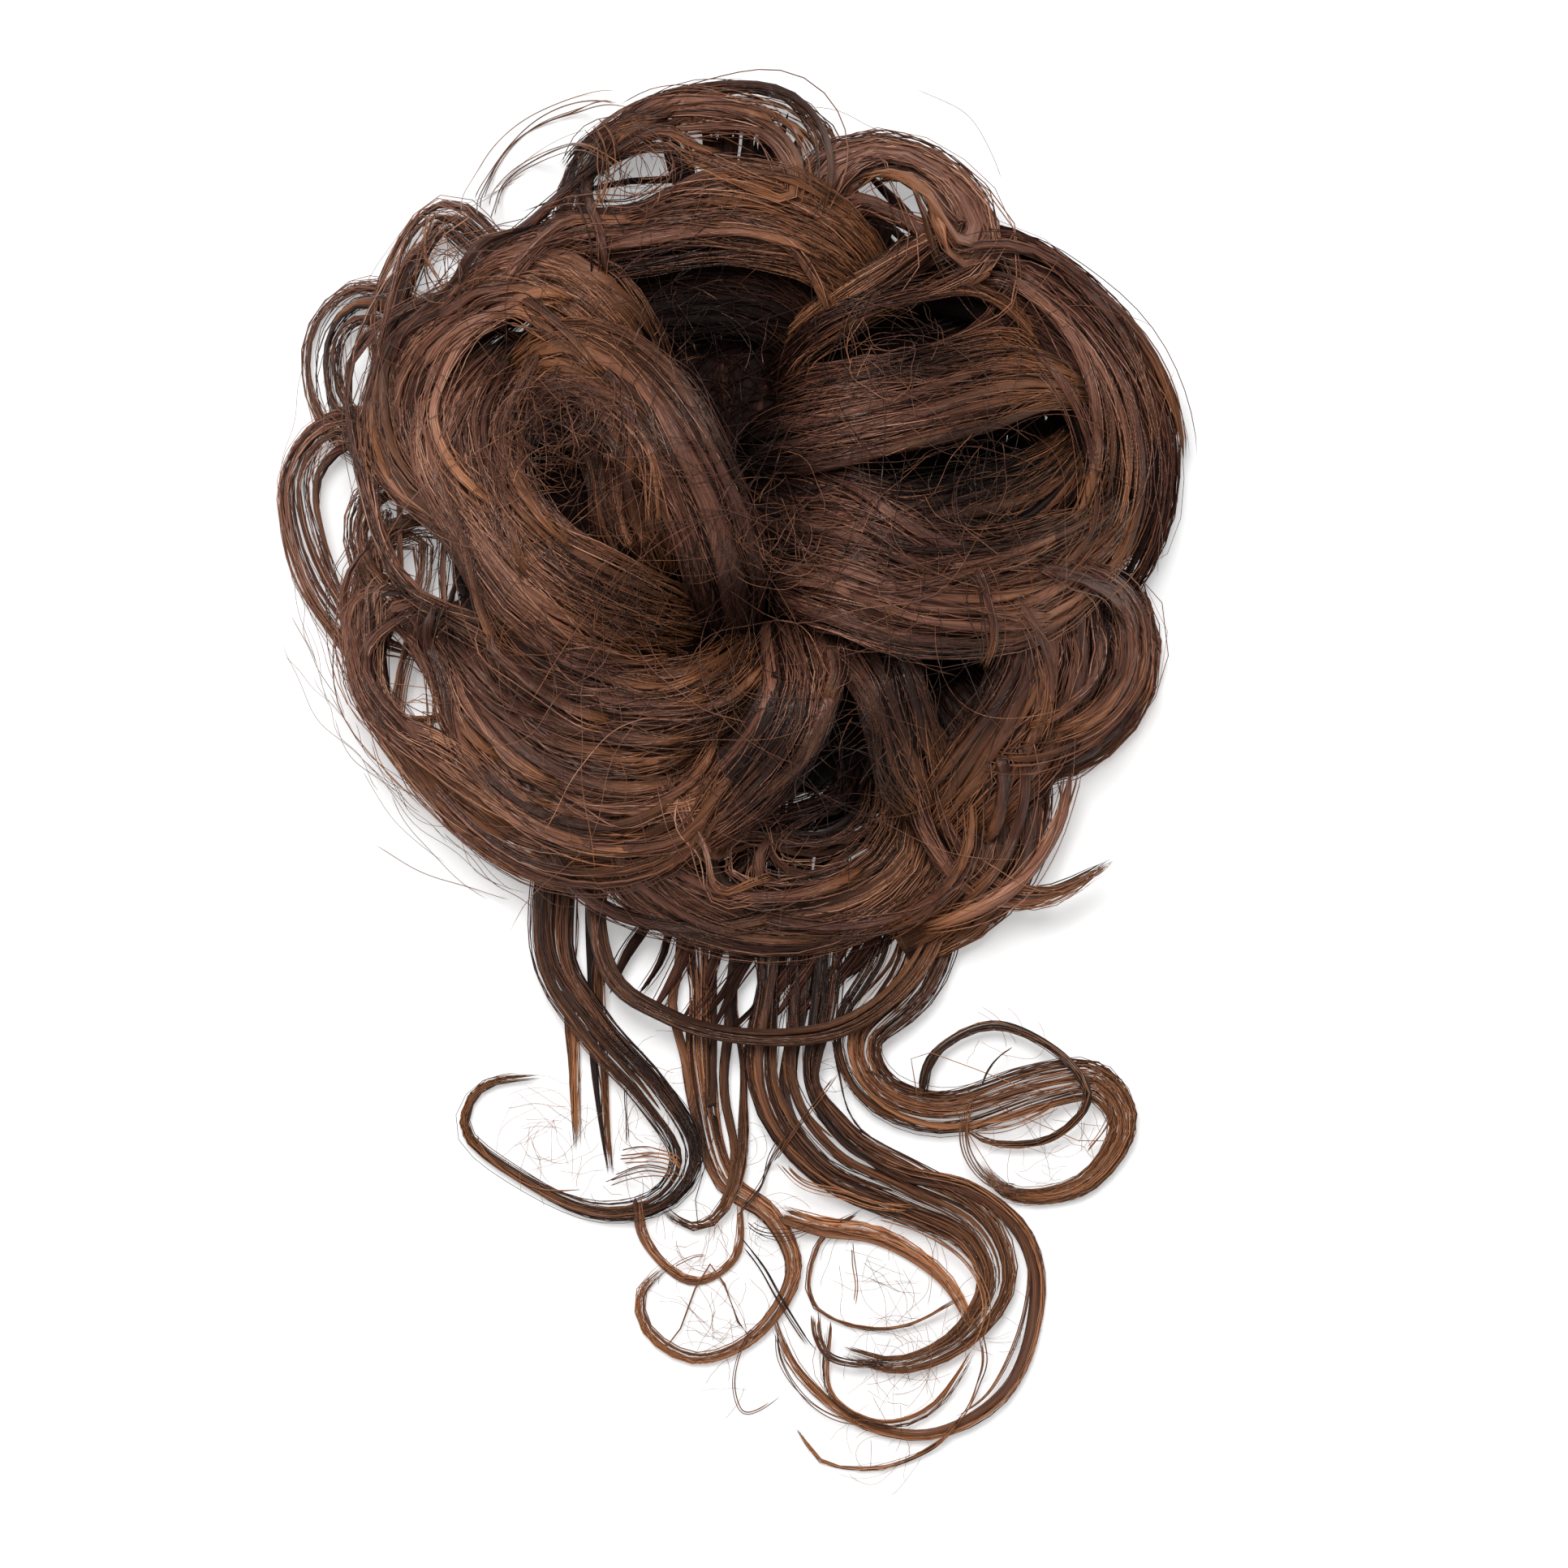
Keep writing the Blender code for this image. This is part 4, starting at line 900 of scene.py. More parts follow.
class HairSettings(bpy.types.PropertyGroup):
    hair_radius: FloatProperty(
        name="Hair Radius", description="Half the thickness of one drawn hair", default=0.00010,
        min=0.00003, max=0.001, subtype="DISTANCE", unit="LENGTH", precision=5)
    hairs_per_metre: FloatProperty(
        name="Hairs Round a Lock", description="Hairs for each metre round a lock's section",
        default=3600.0, min=500.0, max=20000.0)
    hairs_in_clump: IntProperty(
        name="Hairs in a Clump", description="Hairs that run together as one wisp", default=8, min=1, max=60)
    spread: FloatProperty(
        name="Spread", description="How far hairs wander from their wisp", default=0.0005,
        min=0.0, max=0.005, subtype="DISTANCE", unit="LENGTH", precision=5)
    crossing_wisps: IntProperty(
        name="Crossing Wisps", description="Wisps that stray from their locks across the bun",
        default=110, min=1, max=1000)
    stray_share: FloatProperty(
        name="Stray Share", description="Share of the hairs that stand off a lock",
        default=0.07, min=0.0, max=1.0)
    short_share: FloatProperty(
        name="Short Share", description="Share of the hairs that end inside a lock",
        default=0.08, min=0.0, max=1.0)
    end_scatter: FloatProperty(
        name="End Scatter", description="How unevenly the hairs of a lock end, as a share of its length",
        default=0.025, min=0.0, max=0.5)
    core_fill: FloatProperty(
        name="Core Fill", description="Size of a lock's packed core, as a share of its section",
        default=0.74, min=0.1, max=1.0)
    wisp_width: FloatProperty(
        name="Wisp Width", description="Width of one flat wisp of close hairs", default=0.0022,
        min=0.0003, max=0.02, subtype="DISTANCE", unit="LENGTH", precision=5)
    roughness: FloatProperty(
        name="Roughness", description="Roughness of the hair", default=0.33, min=0.0, max=1.0)
    shadow_brown: FloatVectorProperty(
        name="Shadow Brown", description="The darkest hair, deep between the locks", subtype="COLOR",
        default=(0.0080, 0.0040, 0.0036), min=0.0, max=1.0)
    dark_brown: FloatVectorProperty(
        name="Dark Brown", description="Dark hair", subtype="COLOR",
        default=(0.0360, 0.0140, 0.0105), min=0.0, max=1.0)
    brown: FloatVectorProperty(
        name="Brown", description="The main hair colour", subtype="COLOR",
        default=(0.150, 0.0580, 0.0370), min=0.0, max=1.0)
    light_brown: FloatVectorProperty(
        name="Light Brown", description="Lighter hair", subtype="COLOR",
        default=(0.370, 0.160, 0.100), min=0.0, max=1.0)
    caramel: FloatVectorProperty(
        name="Caramel", description="The lightest hair", subtype="COLOR",
        default=(0.640, 0.340, 0.220), min=0.0, max=1.0)
    ginger: FloatVectorProperty(
        name="Ginger", description="The tint of the ends", subtype="COLOR",
        default=(0.480, 0.185, 0.062), min=0.0, max=1.0)


class BandSettings(bpy.types.PropertyGroup):
    ribs: IntProperty(
        name="Ribs", description="Woven ribs across the elastic's height", default=7, min=1, max=30)
    rib_depth: FloatProperty(
        name="Rib Depth", description="How far each rib stands out", default=0.0002,
        min=0.0, max=0.001, subtype="DISTANCE", unit="LENGTH", precision=5)
    thread_black: FloatVectorProperty(
        name="Thread Black", description="Colour of the elastic's threads", subtype="COLOR",
        default=(0.012, 0.011, 0.011), min=0.0, max=1.0)


class StageSettings(bpy.types.PropertyGroup):
    floor_colour: FloatVectorProperty(
        name="Floor Colour", description="Colour of the pale floor", subtype="COLOR",
        default=(0.93, 0.93, 0.93), min=0.0, max=1.0)
    frame_width: FloatProperty(
        name="Frame Width", description="Width of the picture at the hairpiece", default=0.2587,
        min=0.05, max=2.0, subtype="DISTANCE", unit="LENGTH")
    camera_height: FloatProperty(
        name="Camera Height", description="Height of the camera above the floor", default=1.30,
        min=0.3, max=5.0, subtype="DISTANCE", unit="LENGTH")
    floor_glow: FloatProperty(
        name="Floor Glow", description="Light that the pale floor gives of itself, as a lit table does",
        default=0.30, min=0.0, max=2.0)
    sky: FloatProperty(
        name="Sky", description="Strength of the even light from all round", default=0.40, min=0.0, max=5.0)
    softbox: FloatProperty(
        name="Softbox", description="Power of the large lamp above, in watts",
        default=13.0, min=0.0, max=500.0)


def hair_material(name):
    """The hair finish of this name, which is made when it is first asked for."""
    found = bpy.data.materials.get(name)
    if found:
        return found
    hair = bpy.context.scene.hairpiece_hair
    browns = (hair.shadow_brown, hair.dark_brown, hair.brown, hair.light_brown, hair.caramel)
    colours = [np.array(brown) for brown in browns]
    if name == UNDER_FINISH:
        return hair_finish(name, colours, tuple(hair.brown), 0.75, 0.15)
    ginger = np.array(hair.ginger)
    if name == TENDRIL_FINISH:
        shares = (0.0, 0.10, 0.35, 0.60, 0.60)
        levels = (0.0, 0.15, 0.45, 0.90, 1.50)
        colours = [(1 - share) * colour + share * level * ginger
                   for colour, share, level in zip(colours, shares, levels)]
    return hair_finish(name, colours, tuple(ginger), hair.roughness, 0.5)


# The tone of each lock and tendril. A lock's tone is partly the hair's own colour, which differs from lock to
# lock,
# and partly painted light: locks deep in the bun's middle, such as centre_deep and crown_middle, are darker
# with painted shade, and upper locks, such as crown_left_arch and rosette_right, lighter with painted
# highlight.
LOCK_TONES = {
    "rosette_right": 0.58, "rosette_left": 0.58, "left_sweep": 0.56, "crown_left_arch": 0.56,
    "top_band": 0.46, "crown_middle": 0.16, "rosette_eye": 0.42, "centre_deep": 0.16,
    "right_inner_high": 0.44, "right_inner_upper": 0.54, "right_inner_middle": 0.38,
    "right_inner_lower": 0.54, "right_big": 0.21, "right_fall": 0.40, "top_right_lobe": 0.50,
    "lower_sweep_inner": 0.42, "lower_sweep_middle": 0.52, "lower_sweep_outer": 0.60,
    "lower_rim": 0.66, "petal_low": 0.52, "petal_low_inner": 0.50, "petal_middle": 0.42,
    "petal_top": 0.42, "top_arch": 0.52, "bottom_sweep": 0.60, "bottom_sweep_upper": 0.62,
    "mid_fall_left": 0.50, "mid_fall_right": 0.50, "low_right_lobe": 0.44, "right_lower_lobe": 0.48,
    "wisp": 0.50,
}
TENDRIL_TONES = {
    "tendril_left": 0.22, "strand_left": 0.36, "strand_left_fine": 0.42, "tendril_middle": 0.58,
    "tendril_middle_fine": 0.22, "tendril_cross": 0.40, "tendril_right": 0.46, "tail_main": 0.37,
    "tail_outer": 0.54, "tail_light": 0.78, "ring_small": 0.62, "ring_right": 0.36, "ring_tail_inner": 0.48,
    "ring_tail_lower": 0.62, "ring_tail_end": 0.62,
}


class HAIRPIECE_OT_bun_locks(bpy.types.Operator):
    """Makes the locks of the bun from wisps and single hairs, laid over a core darkened with painted shade in
    the broad ones
    """

    bl_idname = "hairpiece.bun_locks"
    bl_label = "Bun Locks"

    def execute(self, context):
        hair = context.scene.hairpiece_hair
        for number, lock in enumerate(BUN_LOCKS):
            rng = np.random.default_rng((SEED, 1, number))
            course = lock_course(lock)
            tone = LOCK_TONES[lock.name]
            partings = BUN_PARTINGS if lock.name.startswith("petal") else BUN_PARTINGS + PETAL_WINDOWS
            skein = Skein()
            full = lock.width * LOCK_WIDTH
            around = 2 * (full + lock.depth * LOCK_DEPTH)
            broad = full > BROAD_LOCK
            step, density = (0.0055, 1.0) if broad else (0.0035, 0.6)
            if broad:
                ridges = int(full / RIDGE_WIDTH)
                # The core's tone, 0.20 below the lock's, is painted shade inside the lock
                skein.add_grid(*core_grid(rng, course, hair.core_fill, ridges, tone - 0.20, partings))
                wisps = int(around / hair.wisp_width * 0.8)
                add_wisps(skein, rng, course, wisps, hair.wisp_width * 0.5, tone, step, partings, False)
            else:
                lanes = round(full / RIDGE_WIDTH)
                add_wisps(skein, rng, course, lanes, hair.wisp_width * 0.28, tone, step, partings)
            count = int(around * hair.hairs_per_metre * density)
            strands = strands_along(rng, course, count, hair, step, tone + 0.06, hair.spread, partings)
            skein.add_tubes(*strands)
            material = hair_material(UNDER_FINISH if tone < DARK_LOCK else LOCK_FINISH)
            skein.piece(lock.name + "_hair", material, lock.name)
        return {"FINISHED"}


class HAIRPIECE_OT_tendrils(bpy.types.Operator):
    """Makes the curled tendrils and thin rings below the bun"""

    bl_idname = "hairpiece.tendrils"
    bl_label = "Tendrils"

    def execute(self, context):
        hair = context.scene.hairpiece_hair
        for number, tendril in enumerate(TENDRILS):
            rng = np.random.default_rng((SEED, 2, number))
            course = tendril_course(tendril)
            tone = TENDRIL_TONES[tendril.name]
            partings = () if tendril.name == "tendril_cross" else NAPE_PARTINGS
            skein = Skein()
            full = tendril.width * TENDRIL_WIDTH
            lanes = max(1, round(full / LANE_WIDTH))
            half_width = min(0.00064, full * 0.34)
            step = 0.0026 if full > BROAD_TENDRIL else 0.0014
            add_wisps(skein, rng, course, lanes, half_width, tone, step, partings)
            count = max(6, int(full * TENDRIL_HAIRS))
            spread = hair.spread * 0.5
            strands = strands_along(rng, course, count, hair, 0.0035, tone + 0.08, spread, partings)
            skein.add_tubes(*strands)
            material = hair_material(TENDRIL_FINISH)
            skein.piece(tendril.name + "_hair", material, tendril.name)
        return {"FINISHED"}


def weft_profile():
    """Radii and heights round the weft's section: down its dome, under its foot and up its hollow."""
    inside, clear, lowest = 0.0006, 0.0002, 0.0012
    climb = np.linspace(math.pi / 2, 0, 14)[1:]
    dome = [((WEFT_RADIUS - inside) * math.cos(a), max((WEFT_HEIGHT - inside) * math.sin(a), lowest))
            for a in climb]
    foot = [(WEFT_RADIUS - 2 * inside, 0.0005), (HOLLOW_RADIUS + 3 * inside, 0.0005),
            (HOLLOW_RADIUS + clear, 0.001)]
    rise = HOLLOW_HEIGHT - BAND_HEIGHT
    hollow = [((HOLLOW_RADIUS + clear) * math.cos(a), BAND_HEIGHT + rise * math.sin(a)) for a in climb[::-1]]
    return np.array(dome + foot + hollow).T


class HAIRPIECE_OT_weft(bpy.types.Operator):
    """Makes the dark weft and under-hair, with its hollow for the wearer's own knot"""

    bl_idname = "hairpiece.weft"
    bl_label = "Weft"

    def execute(self, context):
        hair = context.scene.hairpiece_hair
        rng = np.random.default_rng((SEED, 3))
        skein = Skein()
        columns = 120
        radii, heights = weft_profile()
        corners = about_ring(radii[:, None] * ridged(columns, 0.99), full_turn(columns), heights[:, None])
        tones = 0.16 + rng.normal(0, 0.05, (1, columns)) + 0.02 * rng.normal(0, 1, (len(radii), columns))
        skein.add_grid(corners[:, ::-1], tones, np.linspace(0.2, 0.8, len(radii)))
        # Hairs over the dome
        count = DOME_HAIRS
        flat = np.linspace(0, 1, 16)
        begin = rng.uniform(0.03, 0.75, (count, 1))
        end = np.minimum(1.0, begin + rng.uniform(0.25, 0.75, (count, 1)))
        share = begin + (end - begin) * flat
        heading = rng.uniform(0, 2 * math.pi, (count, 1)) + rng.normal(0, 1.3, (count, 1)) * flat
        heading = heading + wander(rng, count, flat, (0.8, 1.8), 0.12)
        lift = rng.uniform(0.0001, 0.0022, (count, 1)) * np.sin(math.pi * flat) ** 0.5
        height = (WEFT_HEIGHT - 0.0002 + lift) * np.sqrt(np.clip(1 - share**2, 0, 1))
        lines = about_ring((WEFT_RADIUS + lift) * share, heading, height)
        add_hairs(skein, rng, lines, hair.hair_radius, 0.12, 0.08, limits=(0.02, 0.9))
        # Hairs under the foot, from the hollow out
        count = FOOT_HAIRS
        flat = np.linspace(0, 1, 10)
        heading = rng.uniform(0, 2 * math.pi, (count, 1)) + rng.normal(0, 0.25, (count, 1)) * flat
        reach = HOLLOW_RADIUS + 0.0025 + (WEFT_RADIUS - HOLLOW_RADIUS - 0.003) * flat
        lines = about_ring(reach, heading, 0.0003)
        add_hairs(skein, rng, lines, hair.hair_radius, 0.34, 0.12, limits=(0.02, 0.9))
        skein.piece("weft_hair", hair_material(UNDER_FINISH), "weft_base")
        return {"FINISHED"}


def band_finish(colour):
    """Matt ribbed elastic: dark threads with paler rubber glints between the ribs."""
    finish = Finish("black_elastic_finish")
    uv = finish.node("ShaderNodeUVMap", {"uv_map": UV_MAP})[0]
    around, across, _ = finish.node("ShaderNodeSeparateXYZ", inputs={0: uv})
    thread = (around * 900).wave() * (across * 90).wave()
    mottled = finish.node("ShaderNodeTexNoise", {"noise_dimensions": "2D"},
                          {"Vector": uv, "Scale": 220.0, "Detail": 3.0})[0]
    level = thread * 0.5 + mottled * 0.5 + 0.6
    channels = [level * channel for channel in colour]
    shade = finish.node("ShaderNodeCombineColor", inputs=dict(enumerate(channels)))[0]
    return finish.wear({"Base Color": shade, "Roughness": 0.72 + mottled * 0.2, "IOR": 1.45})


class HAIRPIECE_OT_band(bpy.types.Operator):
    """Makes the ribbed elastic band that grips the wearer's own knot"""

    bl_idname = "hairpiece.band"
    bl_label = "Elastic Band"

    def execute(self, context):
        band = context.scene.hairpiece_band
        columns, rows = 160, 6 * band.ribs
        turns = full_turn(columns)
        corner = 2 * math.pi * (np.arange(rows) / rows)
        box_x = np.clip(1.6 * np.cos(corner), -1, 1)
        box_z = np.clip(1.6 * np.sin(corner), -1, 1)
        half_wall, half_height = BAND_WALL / 2 - band.rib_depth / 2, BAND_HEIGHT / 2
        rib = band.rib_depth * np.cos(2 * math.pi * band.ribs * (box_z + 1) / 2) * np.sign(box_x)
        gather = 1 + 0.0015 * np.sin(60 * turns)
        radius = (BAND_BORE / 2 + BAND_WALL / 2 + half_wall * box_x + rib)[:, None] * gather
        height = half_height + half_height * box_z * 0.99
        corners = about_ring(radius, turns, height[:, None]).transpose(1, 0, 2)
        row, column = np.arange(columns)[:, None], np.arange(rows)
        next_row, next_column = (row + 1) % columns, (column + 1) % rows
        quads = np.stack([row * rows + column, next_row * rows + column,
                          next_row * rows + next_column, row * rows + next_column], axis=-1)
        uv = [np.stack(np.broadcast_arrays((row + i) / columns, (column + j) / rows), axis=-1)
              for i, j in ((0, 0), (1, 0), (1, 1), (0, 1))]
        skein = Skein()
        skein.corners.append(corners.reshape(-1, 3))
        skein.faces.append(quads.reshape(-1, 4))
        skein.uvs.append(np.stack(uv, axis=2).reshape(-1, 2))
        skein.piece("ribbed_band", band_finish(tuple(band.thread_black)), "elastic_band")
        return {"FINISHED"}


class Relief:
    """The height of the highest hair over each cell of a grid."""

    def __init__(self):
        self.low = np.array(CAD_BOX[0])[:2] - RELIEF_MARGIN
        size = np.ceil((np.array(CAD_BOX[1])[:2] + RELIEF_MARGIN - self.low) / RELIEF_CELL).astype(int)
        self.heights = np.zeros(size)
        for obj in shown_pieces():
            points = np.empty(len(obj.data.vertices) * 3, np.float32)
            obj.data.vertices.foreach_get("co", points)
            points = points.reshape(-1, 3)
            place = np.clip(((points[:, :2] - self.low) / RELIEF_CELL).astype(int), 0, size - 1)
            np.maximum.at(self.heights, (place[:, 0], place[:, 1]), points[:, 2])
        padded = np.pad(self.heights, 1, mode="edge")
        self.heights = np.maximum.reduce([
            padded[1:-1, 1:-1], padded[:-2, 1:-1], padded[2:, 1:-1], padded[1:-1, :-2], padded[1:-1, 2:]])

    def under(self, x, y):
        last = np.array(self.heights.shape) - 1
        column = np.clip(((x - self.low[0]) / RELIEF_CELL).astype(int), 0, last[0])
        row = np.clip(((y - self.low[1]) / RELIEF_CELL).astype(int), 0, last[1])
        return self.heights[column, row]

    def over(self, x, y, clear, passes=8):
        """Heights of curves laid over the hair, which bridge its dips."""
        return np.maximum(smoothed(self.under(x, y), passes) + clear, 0.0003)


def arcs(rng, starts, headings, bends, lengths, steps):
    """Flat curves that start at given points and headings and bend evenly, with a little wander."""
    flat = np.linspace(0, 1, steps)
    count = len(starts)
    turn = headings[:, None] + bends[:, None] * lengths[:, None] * flat
    turn = turn + wander(rng, count, flat, (0.8, 1.9), 0.25)
    step = lengths[:, None] / (steps - 1)
    x = starts[:, :1] + np.cumsum(np.cos(turn) * step, axis=1)
    y = starts[:, 1:] + np.cumsum(np.sin(turn) * step, axis=1)
    return x, y


def crossing_course(rng, courses, steps):
    """Part of a lock's course from above, turned a little, for a wisp that strays across its lock."""
    course = courses[rng.integers(len(courses))]
    begin = rng.uniform(0.0, 0.5)
    shares = begin + rng.uniform(0.35, 0.6) * np.linspace(0, 1, steps)
    point, side, _, wide, _ = course.at(np.minimum(shares, 1.0))
    line = (point + side * (wide * rng.uniform(-0.9, 0.9))[:, None])[:, :2]
    centre = line.mean(axis=0)
    turn = rng.normal(0, 0.17)
    spin = np.array(((math.cos(turn), math.sin(turn)), (-math.sin(turn), math.cos(turn))))
    return (line - centre) @ spin * rng.normal(1, 0.07) + centre + rng.normal(0, 0.002, 2)


class HAIRPIECE_OT_crossing_wisps(bpy.types.Operator):
    """Lays wisps that stray from their locks and cross the bun"""

    bl_idname = "hairpiece.crossing_wisps"
    bl_label = "Crossing Wisps"

    def execute(self, context):
        hair = context.scene.hairpiece_hair
        rng = np.random.default_rng((SEED, 6))
        relief = Relief()
        courses = [lock_course(lock) for lock in BUN_LOCKS if lock.width > 0.4]
        steps = 18
        flat = np.linspace(0, 1, steps)
        # Wisps that would cross a dark hollow or reach the ground are dropped
        middles = []
        for _ in range(20 * hair.crossing_wisps):
            line = crossing_course(rng, courses, steps)
            if hollow_shade(line).max() < 0.22 and relief.under(*line.T).min() > 0.004:
                middles.append(line)
        middles = np.array(middles[:hair.crossing_wisps])
        count = len(middles)
        dive = 0.0035 * (1 - np.minimum(1, np.sin(math.pi * flat) * 1.8))
        clear = rng.uniform(0.0, 0.0012, (count, 1)) - dive
        heights = relief.over(middles[..., 0], middles[..., 1], clear, 5)
        lines = combed(np.dstack([middles, heights]), BUN_PARTINGS + PETAL_WINDOWS)
        across = unit(sideways(lines))
        half = rng.uniform(0.0004, 0.0011, (count, 1)) * np.minimum(1, np.sin(math.pi * flat) * 1.6 + 0.15)
        tones = rng.normal(0.50, 0.12, count)
        skein = Skein()
        # Tones darkened with painted shade in the bun's hollows and lightened with painted highlight where
        # the hair catches the light
        skein.add_tubes(lines, half, half * 0.4, shaded(tones, lines), 0.06, 8, across, 0.16)
        for _ in range(9):
            offset = rng.normal(0, 0.0013, (count, 1)) + wander(rng, count, flat, (0.7, 1.5), 0.0007)
            hairs = lines + across * offset[..., None]
            hairs[..., 2] += np.abs(rng.normal(0, 0.0004, (count, 1)))
            add_hairs(skein, rng, hairs, hair.hair_radius, 0.03, 0.13, tones, in_bun=True)
        skein.piece("crossing_wisps", hair_material(LOCK_FINISH))
        return {"FINISHED"}


# Dark wisps that stand out from under the weft, with the turns in radians and the lengths in metres
Fan = namedtuple("Fan", "wisps first last drift shortest longest")
UNDER_FANS = (
    Fan(150, -1.15, 1.15, 0.50, 0.010, 0.019),
    Fan(26, 1.46, 1.71, 0.05, 0.018, 0.024),
)


def nape_lines(rng, count):
    """The nape's wisps, from under the bun's lower edge, down and to the left, to the cross strand."""
    half_bun = (BUN_WIDTH / 2, BUN_LENGTH / 2)
    share = (np.arange(count) + rng.uniform(0.2, 0.8, count)) / count
    start = np.stack([-0.20 + 0.66 * share, -0.72 - 0.10 * np.sin(math.pi * share)], axis=-1) * half_bun
    end = np.stack([-0.285 + 0.56 * share, np.full(count, -1.0)], axis=-1) * half_bun
    drop = 0.05 + 0.105 * np.sin(math.pi * np.clip(share * 1.05, 0, 1)) + rng.normal(0, 0.012, count)
    end[:, 1] -= drop * TAIL_LENGTH
    flat = np.linspace(0, 1, 14)
    lines = start[:, None] + (end - start)[:, None] * flat[:, None]
    lines[..., 0] += 0.0035 * np.sin(math.pi * flat) * rng.uniform(0.5, 1.3, (count, 1))
    heights = np.broadcast_to(0.0065 - 0.003 * flat, lines.shape[:2])
    return combed(np.dstack([lines, heights]) + RING, NAPE_PARTINGS)


class HAIRPIECE_OT_under_hair(bpy.types.Operator):
    """Fans dark hair out from the weft, low under the right locks, and combs the nape down to the tendrils"""

    bl_idname = "hairpiece.under_hair"
    bl_label = "Under Hair"

    def execute(self, context):
        hair = context.scene.hairpiece_hair
        rng = np.random.default_rng((SEED, 7))
        skein = Skein()
        flat = np.linspace(0, 1, 12)
        for fan in UNDER_FANS:
            count = fan.wisps
            turn = rng.uniform(fan.first, fan.last, (count, 1)) + rng.normal(0, fan.drift, (count, 1)) * flat
            reach = WEFT_RADIUS - 0.003 + rng.uniform(fan.shortest, fan.longest, (count, 1)) * flat
            height = 0.006 + rng.uniform(0, 0.004, (count, 1)) - 0.004 * flat
            lines = about_ring(reach, turn, height)
            half = rng.uniform(0.0006, 0.0014, (count, 1)) * np.minimum(1, (1 - flat) / 0.3 + 0.2)
            tones = rng.normal(0.14, 0.06, count)
            skein.add_tubes(lines, half, half * 0.4, tones, 0.05, 6, sideways(lines), 0.1)
        count = NAPE_WISPS
        lines = nape_lines(rng, count)
        across = sideways(lines)
        flat = np.linspace(0, 1, lines.shape[1])
        half = rng.uniform(0.0005, 0.0011, (count, 1)) * np.minimum(1, (1 - flat) / 0.4 + 0.3)
        tones = rng.normal(0.22, 0.08, count)
        skein.add_tubes(lines, half, half * 0.5, tones, 0.06, 8, across, 0.14)
        for _ in range(6):
            offset = rng.normal(0, 0.0006, (count, 1)) + wander(rng, count, flat, (0.8,), 0.0005)
            hairs = lines + across * offset[..., None]
            hairs[..., 2] += rng.uniform(0, 0.0012, (count, 1))
            add_hairs(skein, rng, hairs, hair.hair_radius, 0.05, 0.12, tones)
        skein.piece("under_hair_fan", hair_material(UNDER_FINISH))
        return {"FINISHED"}


# Where a haze of loose hairs lies inside a curl: (across, down, radius in metres, number of hairs)
CURL_HAIRS = (
    (-0.39, 0.35, 0.0120, 36), (-0.09, 0.54, 0.0070, 20), (-0.05, 0.67, 0.0105, 36), (0.34, 0.62, 0.0105, 30),
    (0.36, 0.79, 0.0100, 36), (0.34, 0.95, 0.0080, 13), (-0.04, 0.83, 0.0080, 10), (-0.18, 0.32, 0.0060, 16),
    (-0.14, 0.20, 0.0050, 12), (0.05, 0.37, 0.0045, 10), (0.22, 0.24, 0.0040, 8), (0.70, 0.36, 0.0100, 24),
    (0.59, 0.18, 0.0085, 8), (0.10, 0.52, 0.0060, 16), (0.58, 0.70, 0.0080, 18), (-0.25, 0.45, 0.0060, 12),
)
# Swirls of fine hair over the bun: (across, along, radius in metres, number of hairs, tone)
BUN_SWIRLS = (
    (-0.38, 0.18, 0.0110, 150, 0.46), (0.36, 0.38, 0.0110, 40, 0.60), (0.10, -0.03, 0.0100, 45, 0.60),
    (-0.05, 0.42, 0.0110, 40, 0.56), (0.28, -0.56, 0.0110, 34, 0.56), (0.55, 0.06, 0.0110, 36, 0.60),
    (-0.22, -0.20, 0.0080, 36, 0.52), (-0.20, 0.785, 0.0080, 44, 0.55), (-0.64, 0.54, 0.0070, 24, 0.55),
    (-0.66, -0.09, 0.0070, 12, 0.40),
)
